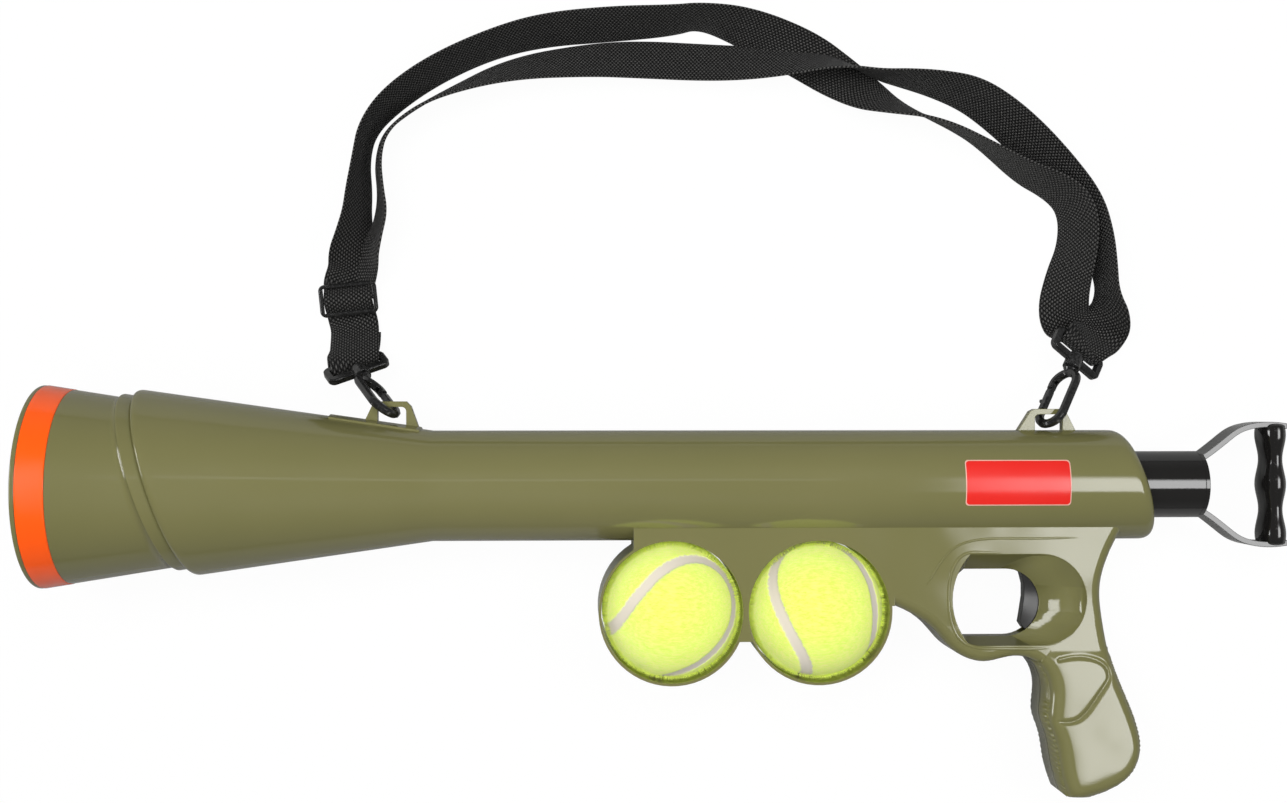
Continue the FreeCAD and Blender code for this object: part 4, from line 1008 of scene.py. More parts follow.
def dress(piece: bpy.types.Object, material: bpy.types.Material) -> None:
    """Puts one material on a piece.

    Args:
        piece: a new piece or a CAD node.
        material: its finish.
    """
    piece.data.materials.clear()
    piece.data.materials.append(material)


# The barrel's skins over the two halves, and the muzzle.


@dataclass
class Barrel:
    """Smooth outside of the two body halves round the barrel, split at the parting line."""

    tube_radius: float = TUBE_RADIUS
    tube_front: float = 178.0
    tube_back: float = 513.5
    rear_slant: float = 16.0
    rear_round: float = 7.0
    rear_hole: float = 16.2
    bell_front: float = 50.0
    bell_front_radius: float = 44.2
    collar_station: float = COLLAR_STATION
    collar_slant: float = COLLAR_SLANT
    collar_round: float = 4.0
    collar_foot: float = 1.6
    rim_depth: float = 3.0
    skin: float = 0.04
    seam: float = 0.35
    seam_angle: float = 0.35
    first_angle: float = 1.5

    def collar(self, angles: np.ndarray) -> tuple[np.ndarray, np.ndarray]:
        """The slanted collar's foot and its rounded edge, for each angle.

        The edge lies where the cone r = R + m (f - x) meets the plane
        x = c - r cos(a) tan(slant).

        Args:
            angles: angles round the barrel in radians.

        Returns:
            The foot, angles by 2, and the edge, rows by angles by 2.
        """
        slope = (self.bell_front_radius - self.tube_radius) / (self.tube_front - self.bell_front)
        lean = np.cos(angles) * math.tan(math.radians(self.collar_slant))
        reach = self.tube_radius + slope * self.tube_front
        x = (self.collar_station - reach * lean) / (1 - slope * lean)
        corner = np.stack([x, reach - slope * x], -1)
        inward = unit(np.stack([lean, -np.ones_like(lean)], -1))
        back = unit(np.broadcast_to([1.0, -slope], corner.shape))
        edge = bend(corner + inward * self.collar_round, corner, corner + back * self.collar_round, 9)
        return corner + inward * (self.collar_round + self.collar_foot), edge

    def rear_end(self, angles: np.ndarray) -> tuple[np.ndarray, np.ndarray, np.ndarray]:
        """The rounded rear edge on x = b - R cos(a) tan(slant), then the hole and its rim.

        Args:
            angles: angles round the barrel in radians.

        Returns:
            The edge, rows by angles by 2, and the hole and the rim, angles by 2.
        """
        tilt = np.cos(angles) * math.tan(math.radians(self.rear_slant))
        edge = np.stack([self.tube_back - self.tube_radius * tilt, np.full_like(angles, self.tube_radius)],
                        -1)
        inward = np.stack([tilt, -np.ones_like(tilt)], -1)
        start = edge - np.array([self.rear_round, 0])
        rear = bend(start, edge, edge + unit(inward) * self.rear_round, 15)
        lip = rear[-1]
        hole = lip + inward * (lip[:, 1] - self.rear_hole)[:, None]
        return rear, hole, hole - np.array([self.rim_depth, 0])

    def profile(self, angles: np.ndarray) -> np.ndarray:
        """The outline from the slanted collar to the slanted rear end, for each angle.

        The cone and the tube between them are straight: (1 - t) start + t end.

        Args:
            angles: angles round the barrel in radians.

        Returns:
            Rows by angles by 2, of place along and radius.
        """
        foot, collar = self.collar(angles)
        rear, hole, rim = self.rear_end(angles)
        cone_end = np.broadcast_to([self.tube_front, self.tube_radius], foot.shape)
        share = np.linspace(0, 1, 24)[1:-1, None, None]
        cone = collar[-1] * (1 - share) + cone_end * share
        share = np.linspace(0, 1, 40)[1:-1, None, None]
        tube = cone_end * (1 - share) + rear[0] * share
        return np.concatenate([foot[None], collar, cone, cone_end[None], tube, rear, hole[None], rim[None]])

    def half(self, name: str, first: float) -> bpy.types.Object:
        """One half's skin; its two long edges dip by seam into the parting line.

        Args:
            name: the piece's name.
            first: the first edge's angle in degrees.

        Returns:
            The piece.
        """
        inner = np.linspace(self.first_angle, 180 - self.first_angle, 119)
        angles = np.radians(first + np.concatenate([[0.0, self.seam_angle], inner,
                                                    [180 - self.seam_angle, 180.0]]))
        outline = self.profile(angles)
        outline[..., 1] += self.skin
        outline[:, [0, -1], 1] -= self.seam
        return linked(name, grid_mesh(name, revolved(outline, angles)))

    def build(self) -> None:
        """Makes both skins; the halves below them keep their own mesh."""
        olive, wall = OLIVE.material(), OLIVE_WALL.material()
        for name, first in (("left_barrel_skin", 0.0), ("right_barrel_skin", 180.0)):
            skin = self.half(name, first)
            dress(skin, olive)
            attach(skin, "housing")
        for node in ("left_body_half", "right_body_half"):
            dress(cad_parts[node], wall)
        LOG.info("barrel: two skins")


def unit(vectors: np.ndarray) -> np.ndarray:
    """Vectors of length one along the last axis."""
    return vectors / np.linalg.norm(vectors, axis=-1, keepdims=True)


@dataclass
class Muzzle:
    """Flared mouth with its two slanted steps, and the orange ring in its groove."""

    mouth_radius: float = 47.0
    taper: float = 9.0
    rim: float = -3.5
    back: float = 72.0
    wall: float = 2.4
    bead: float = 32.2
    band_front: float = -1.2
    band_width: float = 12.4
    band_depth: float = 1.0
    band_rise: float = 0.2
    fit: float = 0.1
    collar_station: float = COLLAR_STATION
    collar_slant: float = COLLAR_SLANT
    ridge_width: float = 7.0
    ridge_rise: float = 1.8
    ridge_run: float = 1.3
    lip: float = 1.3
    groove_round: float = 0.06
    groove_middle: float = 0.5
    groove_side: float = 0.25
    ring_round: float = 0.35

    def cup(self, x: np.ndarray | float) -> np.ndarray | float:
        """Outer radius at a station: R - x tan(taper)."""
        return self.mouth_radius - math.tan(math.radians(self.taper)) * x

    def step_edge(self, station: float, angles: np.ndarray) -> np.ndarray:
        """Station where the raised cone meets the slanted plane x = s - r cos(a) tan(slant).

        Args:
            station: where the plane meets the axis.
            angles: angles round the barrel in radians.

        Returns:
            A station for each angle.
        """
        lean = np.cos(angles) * math.tan(math.radians(self.collar_slant))
        slope = math.tan(math.radians(self.taper))
        return (station - (self.mouth_radius + self.ridge_rise) * lean) / (1 - slope * lean)

    def ridge(self, start: np.ndarray, steps: int = 9) -> np.ndarray:
        """A rounded step up to the ridge: x = start + run (1 - cos t), rise = height sin(t)^0.8.

        Args:
            start: the step's first station for each angle.
            steps: rows of the step.

        Returns:
            Rows by angles by 2, of station and radius.
        """
        t = np.linspace(0, 1, steps)[:, None] * math.pi / 2
        x = start + self.ridge_run * (1 - np.cos(t))
        return np.stack([x, self.cup(x) + self.ridge_rise * np.sin(t) ** 0.8], -1)

    def groove(self) -> tuple[np.ndarray, np.ndarray]:
        """Stations and radii of the lip's end and of the orange ring's groove.

        Returns:
            Stations and radii in millimetres.
        """
        front, end = self.band_front, self.band_front + self.band_width
        lip = self.rim + self.lip
        stations = np.array([lip, front - self.groove_side, front, front, front, end, end, end,
                             end + self.groove_side])
        drops = np.array([0, 0, self.groove_round, self.groove_middle, self.band_depth, self.band_depth,
                          self.groove_middle, self.groove_round, 0])
        return stations, self.cup(stations) - drops

    def steady(self, stations: np.ndarray, radii: np.ndarray, angles: np.ndarray) -> np.ndarray:
        """The same stretch of outline for every angle."""
        return np.repeat(np.stack([stations, radii], -1)[:, None], len(angles), axis=1)

    def outline(self, angles: np.ndarray) -> np.ndarray:
        """Closed section of the cup for each angle: inside, lip, groove, steps, tongue.

        Args:
            angles: angles round the barrel in radians.

        Returns:
            Rows by angles by 2, of station and radius.
        """
        rim, wall = self.rim, self.wall
        inside = np.linspace(self.back - 3 * wall, rim + wall / 2, 18)
        turn = np.linspace(math.pi, 0, 13)[1:-1]
        lip_x = rim + wall / 2 - wall / 2 * np.sin(turn)
        lip_r = self.cup(rim + wall / 2) - wall / 2 + wall / 2 * np.cos(turn)
        start = self.band_front + self.band_width + self.fit * 3
        first = self.step_edge(self.collar_station - self.ridge_width, angles)
        second = self.step_edge(self.collar_station, angles) - self.fit
        share = np.linspace(0, 1, 12)[:, None]
        plain_x = start + (first - start) * share[:-1]
        crest = first + self.ridge_run
        top_x = crest + (second - crest) * np.linspace(0.1, 1, 6)[:, None]
        tongue_x = second + (self.back - second) * share
        bead = np.array([self.bead, self.bead])
        rows = [self.steady(np.array([self.back, self.back - wall]), bead, angles),
                self.steady(inside, self.cup(inside) - wall, angles),
                self.steady(lip_x, lip_r, angles),
                self.steady(*self.groove(), angles),
                np.stack([plain_x, self.cup(plain_x)], -1),
                self.ridge(first),
                np.stack([top_x, self.cup(top_x) + self.ridge_rise], -1),
                np.stack([tongue_x, self.cup(tongue_x)], -1)]
        return np.concatenate(rows)

    def band(self) -> np.ndarray:
        """Closed section of the orange ring with its edges rounded.

        Returns:
            Rows by 2, of station and radius.
        """
        front = self.band_front + self.fit
        back = self.band_front + self.band_width - self.fit
        soft = self.ring_round
        x = np.array([front, front, front + 0.1, front + soft, *np.linspace(front + 1, back - 1, 6),
                      back - soft, back - 0.1, back, back])
        drop = np.array([self.fit - self.band_depth, -soft, -0.1, 0, *[0] * 6, 0, -0.1, -soft,
                         self.fit - self.band_depth])
        rise = np.where(drop < -soft, drop, drop + self.band_rise)
        return np.stack([x, self.cup(x) + rise], -1)

    def build(self) -> None:
        """Makes the cup and its ring."""
        angles = np.linspace(0, 2 * math.pi, 240, endpoint=False)
        for name, section, finish, node in (
                ("muzzle_shell", self.outline(angles), OLIVE, "muzzle_cup"),
                ("orange_ring", self.band(), ORANGE, "orange_muzzle_band")):
            made = linked(name, grid_mesh(name, revolved(section, angles), around=True, along=True))
            dress(made, finish.material())
            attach(made, "housing")
            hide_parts(node)
        LOG.info("muzzle: cup and ring")


@dataclass
class Sticker:
    """Plain red film on the barrel over the trigger, with a thin pale edge."""

    front: float = 426.0
    back: float = 474.6
    upper: float = 12.0
    lower: float = -8.3
    corner: float = 1.6
    edge: float = 0.45
    radius: float = TUBE_RADIUS
    rows: int = 41
    columns: int = 61
    under_film: float = 0.09
    over_film: float = 0.14

    def patch(self, name: str, grow: float, lift: float) -> bpy.types.Object:
        """A rounded rectangle bent round the barrel.

        Each row across has the half length L - c + sqrt(c^2 - t^2), where t is how
        far the row lies inside the corner's radius c.

        Args:
            name: the piece's name.
            grow: how far the film reaches past the red, in millimetres.
            lift: height over the barrel in millimetres.

        Returns:
            The film with its rim turned down to the barrel.
        """
        half = (self.upper - self.lower) / 2 + grow
        middle = (self.upper + self.lower) / 2
        length = (self.back - self.front) / 2 + grow
        across = half * np.sin(np.linspace(-math.pi / 2, math.pi / 2, self.rows))
        into = np.clip(np.abs(across) - (half - self.corner), 0, self.corner)
        reach = length - self.corner + np.sqrt(self.corner ** 2 - into ** 2)
        share = np.sin(np.linspace(-math.pi / 2, math.pi / 2, self.columns))
        x = (self.front + self.back) / 2 + reach[None, :] * share[:, None]
        height = np.full_like(x, lift)
        height[[0, -1]] = 0.0
        height[:, [0, -1]] = 0.0
        y = np.broadcast_to(middle + across, x.shape)
        radius = self.radius + height
        points = laid_down(np.stack([x, y, np.sqrt(radius ** 2 - y ** 2)], -1))
        return linked(name, grid_mesh(name, points, flip=True))

    def build(self) -> None:
        """Makes the pale under film and the red film."""
        for name, grow, lift, finish in (("sticker_edge", self.edge, self.under_film, PALE_FILM),
                                         ("sticker_face", 0.0, self.over_film, RED_FILM)):
            made = self.patch(name, grow, lift)
            dress(made, finish.material())
            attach(made, "housing")
        LOG.info("sticker: two films")


def natural_curve(points: tuple, steps: int = 40) -> np.ndarray:
    """Smooth curve through points: the natural cubic spline over their chord lengths.

    Its second derivatives M solve h1 M0 + 2 (h1 + h2) M1 + h2 M2 = 6 (slope2 -
    slope1), with none at either end.

    Args:
        points: rows of two numbers.
        steps: samples from one point to the next.

    Returns:
        Rows of two numbers along the curve.
    """
    spots = np.array(points, float)
    gaps = np.linalg.norm(np.diff(spots, axis=0), axis=1)
    count = len(spots)
    system, right = np.eye(count), np.zeros_like(spots)
    inner = np.arange(1, count - 1)
    system[inner, inner - 1], system[inner, inner + 1] = gaps[:-1], gaps[1:]
    system[inner, inner] = 2 * (gaps[:-1] + gaps[1:])
    right[1:-1] = 6 * np.diff(np.diff(spots, axis=0) / gaps[:, None], axis=0)
    second = np.linalg.solve(system, right)
    share = np.linspace(0, 1, steps, endpoint=False)
    t, u, h = share[None, :, None], 1 - share[None, :, None], gaps[:, None, None]
    rows = (u * spots[:-1, None] + t * spots[1:, None]
            + h ** 2 / 6 * ((u ** 3 - u) * second[:-1, None] + (t ** 3 - t) * second[1:, None]))
    return np.vstack([rows.reshape(-1, 2), spots[-1:]])


def distance_to(curve: np.ndarray, places: np.ndarray) -> np.ndarray:
    """Least distance from each place to the samples of a curve.

    Args:
        curve: rows of samples.
        places: an array whose last axis holds a place.

    Returns:
        An array of distances without that axis.
    """
    flat = places.reshape(-1, places.shape[-1])
    best = np.full(len(flat), np.inf)
    for part in np.array_split(curve, max(1, len(curve) // 40)):
        best = np.minimum(best, np.linalg.norm(flat[:, None] - part[None], axis=2).min(axis=1))
    return best.reshape(places.shape[:-1])


def smooth(value: np.ndarray, low: float, high: float) -> np.ndarray:
    """Ramp 3 t^2 - 2 t^3 from low to high."""
    t = np.clip((value - low) / (high - low), 0, 1)
    return t * t * (3 - 2 * t)


GRIP_FRONT = ((380, -52.2), (394, -55.8), (404, -60.6), (413, -67.2), (420.5, -75.6), (429, -81),
              (437, -82.6), (450, -80.2), (461.2, -82.6), (466.4, -89), (468, -100.5), (467.5, -110),
              (470.5, -119.5), (473.3, -134.5), (477, -146.5))
GRIP_BACK = ((488, -146.5), (498.3, -142.3), (506.5, -136), (510.8, -125), (508.3, -110.5),
             (497.3, -82.5), (493.2, -63), (492.2, -47), (495.3, -35), (502.8, -20))
THUMB_REST = ((467.2, -109.5), (474.5, -110.8), (479.5, -109.8), (486.6, -103.0), (492.5, -94.5),
              (495.0, -89.5), (493.6, -84.9), (487.5, -81.0), (480.0, -79.9), (471.5, -81.4))


@dataclass
class GripSkins:
    """Crowned faces of the pistol grip with the groove round the thumb rest."""

    face: float = WEB_FACE
    round: float = 5.0
    crown: float = 1.1
    edge_roll: float = 6.5
    front_roll: float = 14.0
    back_roll: float = 10.0
    proud: float = 0.3
    front_cut: float = 461.2
    groove_depth: float = 0.95
    groove_width: float = 0.95
    groove_inset: tuple[float, float] = (2.0, 6.0)
    top: float = -76.0
    bottom: float = -146.5
    power: float = 2.5
    cut_run: float = 6.0
    fade_run: float = 7.0
    wall_run: float = 8.0
    sunk: float = 0.06
    risen: float = 0.06
    head_front: float = 463.5
    head_run: float = 4.0
    foot: float = 5.0
    foot_height: float = 0.3
    head_sunk: float = 0.3
    rows: int = 150
    foot_rows: int = 16
    columns: int = 90
    evenness: float = 0.45

    def roll(self, distance: np.ndarray, reach: float) -> np.ndarray:
        """Rounding from an edge inwards: (1 - (1 - d/reach)^n)^(1/n), full past the reach."""
        t = np.clip(distance / reach, 0, 1)
        return (1 - (1 - t) ** self.power) ** (1 / self.power)

    def heights(self, x: np.ndarray, y: np.ndarray, front: np.ndarray, back: np.ndarray) -> np.ndarray:
        """Height of the face over the parting plane.

        It is the foot of the rounding plus the product of the short rolls from front,
        back and bottom edge, plus the crown with its wide rolls, less the groove's
        bell-shaped depth. Towards the top and the gap the face sinks into the moulding.

        Args:
            x: stations.
            y: places down the grip.
            front: samples of the front outline.
            back: samples of the back outline.

        Returns:
            Heights in millimetres.
        """
        spots = np.stack([x, y], -1)
        ahead, behind = distance_to(front, spots), distance_to(back, spots)
        rolled = (self.roll(ahead, self.edge_roll) * self.roll(behind, self.edge_roll)
                  * self.roll(y - self.bottom + self.proud, self.edge_roll))
        inward = smooth(x, self.front_cut, self.front_cut + self.cut_run)
        fade = smooth(-y, -self.top, self.fade_run - self.top) * inward
        crowned = self.crown * fade * self.roll(ahead, self.front_roll) * self.roll(behind, self.back_roll)
        proud = -self.sunk + (self.sunk + self.risen) * fade
        lifted = self.face - self.round + (self.round + proud + crowned) * rolled
        away = distance_to(natural_curve(THUMB_REST, 14), spots)
        groove = self.groove_depth * np.exp(-(away / self.groove_width) ** 2) * fade
        return lifted - groove * smooth(ahead, *self.groove_inset)

    def levels(self) -> np.ndarray:
        """Places down the grip: even steps, then closer ones, s - f sin(t), round its foot.

        Returns:
            Places from the top to the bottom.
        """
        start = self.bottom + self.foot
        turn = np.linspace(0, math.pi / 2, self.foot_rows)[1:]
        return np.concatenate([np.linspace(self.top, start, self.rows), start - self.foot * np.sin(turn)])

    def sides(self, y: np.ndarray, front: np.ndarray, back: np.ndarray) -> tuple[np.ndarray, np.ndarray]:
        """Stations of the front and the back outline at places down the grip.

        Args:
            y: places down the grip.
            front: samples of the front outline.
            back: samples of the back outline.

        Returns:
            The front's and the back's stations; over the front outline's start the
            front runs on to the gap.
        """
        lead = np.interp(-y, -front[:, 1], front[:, 0])
        above = y > front[0, 1]
        lead[above] = self.head_front + self.head_run * smooth(y[above], front[0, 1], self.top)
        order = np.argsort(-back[:, 1])
        return lead, np.interp(-y, -back[order, 1], back[order, 0])

    def sheet(self, name: str, side: int) -> bpy.types.Object:
        """One face with its front, back and bottom walls down to the parting plane.

        The columns lie between even steps t and cosine steps (1 - cos(pi t)) / 2,
        closer at both edges; a column of wall stands before the first and after the last.

        Args:
            name: the piece's name.
            side: 1 for the left face, -1 for the right one.

        Returns:
            The piece.
        """
        front, back = natural_curve(GRIP_FRONT), natural_curve(GRIP_BACK)
        front = front[front[:, 0] > self.front_cut]
        y = self.levels()
        lead, trail = self.sides(y, front, back)
        above = y > front[0, 1]
        even = np.linspace(0, 1, self.columns)
        share = (1 - np.cos(np.linspace(0, math.pi, self.columns))) / 2
        share = (1 - self.evenness) * share + self.evenness * even
        x = lead[:, None] + (trail - lead)[:, None] * share[None]
        z = self.heights(x, np.repeat(y[:, None], self.columns, axis=1), front, back)
        z[above, 0] = self.face - self.head_sunk
        proud = self.proud * smooth(-y, -self.top, self.wall_run - self.top)
        foot = np.full_like(lead, self.foot_height)
        wall_z = np.stack([foot, z[:, 0]], -1)
        wall_z[above] = self.face - self.head_sunk - 0.1
        x = np.hstack([np.repeat((lead - 2 * proud)[:, None], 2, axis=1), x,
                       np.repeat((trail + proud)[:, None], 2, axis=1)])
        z = np.hstack([wall_z, z, np.stack([z[:, -1], foot], -1)])
        y = np.repeat(y[:, None], x.shape[1], axis=1)
        y[-1] -= self.proud / 3
        x, y = (np.vstack([grid, grid[-1:]]) for grid in (x, y))
        z = np.vstack([z, np.full_like(z[-1:], self.foot_height)])
        return linked(name, grid_mesh(name, laid_down(np.stack([x, y, side * z], -1)), flip=side > 0))

    def build(self) -> None:
        """Makes the left and the right face."""
        olive = OLIVE_WALL.material()
        for name, side in (("left_grip_skin", 1), ("right_grip_skin", -1)):
            made = self.sheet(name, side)
            dress(made, olive)
            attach(made, "housing")
        LOG.info("grip: two faces")


GAP_RIM = ((446.0, -31.3), (434.0, -31.0), (426.5, -32.0), (421.8, -37.5), (419.6, -46.0), (419.6, -58.0),
           (421.6, -66.5), (426.0, -72.8), (432.5, -75.4), (443.0, -76.0), (456.0, -76.2), (468.0, -76.2))
FLANGE = ((482.0, -24.2), (466.0, -24.5), (450.0, -24.5), (437.0, -24.7), (429.5, -25.8), (422.5, -28.6),
          (416.5, -34.5), (411.5, -42.0), (408.5, -47.0))


@dataclass
class GapRims:
    """Low rounded lips on the web: round the finger gap and along the flange over it."""

    face: float = WEB_FACE
    sunk: float = 0.15
    taper: float = 12.0
    thin: float = 0.0004

    def bead(self, name: str, route: tuple, width: float, rise: float, side: int) -> bpy.types.Object:
        """A lens-shaped bead, (w cos a, h sin a) for half a turn, that tapers to its two ends.

        Args:
            name: the piece's name.
            route: points of its middle line, in the launcher's own millimetres.
            width: its width in the middle.
            rise: its height over the face.
            side: 1 for the left face, -1 for the right one.

        Returns:
            The piece.
        """
        line = natural_curve(route, 12)
        ahead = unit(np.gradient(line, axis=0))
        across = np.stack([-ahead[:, 1], ahead[:, 0]], -1)
        run = np.linspace(0, 1, len(line))
        taper = np.sqrt(np.clip(np.minimum(run, 1 - run) * self.taper, self.thin, 1))
        angle = np.linspace(0, math.pi, 13)
        flat = line[:, None] + across[:, None] * (taper[:, None] * np.cos(angle)[None] * width / 2)[..., None]
        height = self.face - self.sunk + taper[:, None] * (np.sin(angle) * (rise + self.sunk))[None]
        points = laid_down(np.dstack([flat, side * height]))
        return linked(name, grid_mesh(name, points, flip=side < 0))

    def build(self) -> None:
        """Makes both beads on both faces."""
        olive = OLIVE_WALL.material()
        for side, word in ((1, "left"), (-1, "right")):
            for name, route, width, rise in (("gap_rim", GAP_RIM, 1.7, 0.35), ("flange", FLANGE, 1.3, 0.25)):
                made = self.bead(f"{word}_{name}", route, width, rise, side)
                dress(made, olive)
                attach(made, "housing")
        LOG.info("finger gap: four beads")


@dataclass
class TennisBall:
    """One felt ball with its seam and its loose fibres."""

    node: str
    station: float
    turn: tuple[float, float, float]
    drop: float = 58.3
    radius: float = 32.45
    seam_half: float = 3.0
    groove: float = 0.45
    band: float = 18.0
    rows: int = 170
    columns: int = 340
    pole: float = 0.012
    lump: float = 0.16
    far_from_seam: float = 0.02
    fibres: int = 9000
    fibre_width: float = 0.055
    fibre_length: tuple[float, float] = (0.5, 1.25)
    fringe_fibres: int = 9000
    fringe_foot: tuple[float, float] = (3.0, 12.5)
    fringe_tip: tuple[float, float] = (32.35, 32.95)
    fringe_rise: tuple[float, float] = (0.4, 2.2)
    seed: int = 5

    def axes(self) -> np.ndarray:
        """Turn about X, then Y, then Z.

        Returns:
            A 3 by 3 array.
        """
        (cx, cy, cz), (sx, sy, sz) = np.cos(np.radians(self.turn)), np.sin(np.radians(self.turn))
        about_x = np.array([[1, 0, 0], [0, cx, -sx], [0, sx, cx]])
        about_y = np.array([[cy, 0, sy], [0, 1, 0], [-sy, 0, cy]])
        about_z = np.array([[cz, -sz, 0], [sz, cz, 0], [0, 0, 1]])
        return about_z @ about_y @ about_x

    def seam(self) -> np.ndarray:
        """The seam on a unit ball: (a cos t + b cos 3t, a sin t - b sin 3t, 2 sqrt(ab) sin 2t).

        Returns:
            Rows of directions from the ball's middle.
        """
        t = np.linspace(0, 2 * math.pi, 480, endpoint=False)
        a, b = 0.75, 0.25
        curve = np.stack([a * np.cos(t) + b * np.cos(3 * t), a * np.sin(t) - b * np.sin(3 * t),
                          2 * math.sqrt(a * b) * np.sin(2 * t)], -1)
        return curve @ self.axes().T

    def centre(self) -> np.ndarray:
        """The ball's middle in the frame, in metres."""
        return laid_down(np.array([self.station, -self.drop, 0.0]))

    def mark(self, mesh: bpy.types.Mesh, metres: np.ndarray) -> None:
        """Writes the distance to the seam onto the mesh's points."""
        layer = mesh.attributes.new("seam_distance", "FLOAT", "POINT")
        layer.data.foreach_set("value", metres.astype(np.float32).ravel())

    def skin(self, felt: bpy.types.Material) -> bpy.types.Object:
        """The ball: a sphere whose radius dips at the seam and swells in soft lumps.

        Args:
            felt: the felt's material.

        Returns:
            The piece.
        """
        tall = np.linspace(-math.pi / 2 + self.pole, math.pi / 2 - self.pole, self.rows)
        turn = np.linspace(0, 2 * math.pi, self.columns, endpoint=False)
        way = np.stack([np.cos(tall)[:, None] * np.cos(turn), np.cos(tall)[:, None] * np.sin(turn),
                        np.repeat(np.sin(tall)[:, None], self.columns, axis=1)], -1)
        away = distance_to(self.seam(), way) * self.radius
        rng = np.random.default_rng(self.seed)
        waves = rng.normal(size=(7, 3)) * 9
        lumps = np.mean(np.sin(way @ waves.T + rng.uniform(0, 6.28, 7)), axis=-1)
        bare = 1 - smooth(away, self.seam_half * 0.4, self.seam_half * 1.3)
        size = self.radius + self.lump * lumps - self.groove * bare
        points = self.centre() + way * size[..., None] * MILLIMETRE
        mesh = grid_mesh(self.node + "_felt", points, around=True, caps=True)
        self.mark(mesh, away * MILLIMETRE)
        made = linked(self.node + "_felt", mesh)
        dress(made, felt)
        return made

    def fringe(self, rng: np.random.Generator) -> tuple[np.ndarray, np.ndarray, np.ndarray]:
        """Fibres in the gap to the holder: they rise from the ball's waist and end short of the wall.

        Args:
            rng: the source of the random draws.

        Returns:
            Feet, tips and directions across, in millimetres from the ball's middle.
        """
        turn = rng.uniform(0, 2 * math.pi, self.fringe_fibres)
        high = rng.uniform(*self.fringe_foot, self.fringe_fibres) * rng.choice([-1, 1], self.fringe_fibres)
        out = np.stack([np.cos(turn), np.sin(turn), np.zeros_like(turn)], -1)
        up = np.stack([np.zeros_like(turn), np.zeros_like(turn), np.sign(high)], -1)
        foot = out * np.sqrt((self.radius - 0.1) ** 2 - high ** 2)[:, None] + up * np.abs(high)[:, None]
        tip = out * rng.uniform(*self.fringe_tip, self.fringe_fibres)[:, None]
        tip = tip + up * (np.abs(high) + rng.uniform(*self.fringe_rise, self.fringe_fibres))[:, None]
        side = np.cross(up, out)
        return foot @ AXES.T, tip @ AXES.T, side @ AXES.T

    def fuzz(self, felt: bpy.types.Material) -> bpy.types.Object:
        """Short fibres: thin three-cornered blades that lean over the felt, none in the seam.

        Args:
            felt: the felt's material.

        Returns:
            The piece.
        """
        rng = np.random.default_rng(self.seed + 1)
        way = unit(rng.normal(size=(self.fibres * 3, 3)))
        away = distance_to(self.seam(), way) * self.radius
        place = way @ AXES
        keep = (np.abs(place[:, 2]) * self.radius > self.band) & (away > self.seam_half)
        way = way[keep][:self.fibres]
        lean = unit(np.cross(way, rng.normal(size=way.shape)))
        side = np.cross(way, lean)
        length = rng.uniform(*self.fibre_length, len(way))[:, None]
        foot = way * (self.radius - 0.15)
        tip = way * (self.radius + 0.32 * length) + lean * length * 0.9
        more_foot, more_tip, more_side = self.fringe(rng)
        foot, tip, side = (np.vstack(pair) for pair in ((foot, more_foot), (tip, more_tip),
                                                        (side, more_side)))
        half = side * self.fibre_width
        corners = np.stack([foot - half, foot + half, tip], 1) * MILLIMETRE + self.centre()
        blades = np.arange(len(foot) * 3).reshape(-1, 3)
        mesh = bpy.data.meshes.new(self.node + "_fuzz")
        mesh.from_pydata(corners.reshape(-1, 3).tolist(), [], blades.tolist())
        self.mark(mesh, np.full(len(foot) * 3, self.far_from_seam))
        made = linked(self.node + "_fuzz", mesh)
        dress(made, felt)
        return made


@dataclass
class Balls:
    """The two balls in their rings."""

    balls: tuple[TennisBall, ...] = (
        TennisBall("front_ball", 290.0, (102.8, -124.1, -54.32)),
        TennisBall("rear_ball", 358.6, (-57.35, -125.64, -5.92), seed=11))

    def build(self) -> None:
        """Makes felt and fibres of both."""
        felt = FELT.material()
        for ball in self.balls:
            skin = ball.skin(felt)
            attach(skin, ball.node)
            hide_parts(ball.node)
            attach(ball.fuzz(felt), ball.node)
        LOG.info("balls: %d", len(self.balls))


@dataclass
class MainSpring:
    """Wound launching spring between the striker head and its collar."""

    front: float = 172.6
    back: float = 407.6
    radius: float = 19.4
    wire: float = 1.45
    turns: float = 24.0
    steps: int = 26
    sides: int = 8
    stroke: float = 150.0

    def build(self) -> None:
        """A ring of sides follows the helix x = front + pitch t, radius (cos, sin) of the turn.
        """
        turn = np.linspace(0, 2 * math.pi * self.turns, int(self.turns * self.steps))
        length = self.back - self.front - 2 * self.wire
        x = self.front + self.wire + length * turn / turn[-1]
        out = np.stack([np.zeros_like(turn), np.cos(turn), np.sin(turn)], -1)
        middle = self.radius * out
        middle[:, 0] = x
        angle = np.linspace(0, 2 * math.pi, self.sides, endpoint=False)[None, :, None]
        ring = out[:, None] * np.cos(angle) + np.array([1.0, 0, 0]) * np.sin(angle)
        points = laid_down(middle[:, None] + self.wire * ring)
        made = linked("spring_coils", grid_mesh("spring_coils", points, around=True, caps=True))
        dress(made, SPRING_STEEL.material())
        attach(made, "housing")
        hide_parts("main_spring")
        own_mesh(made)
        LOG.info("main spring: %d turns", self.turns)


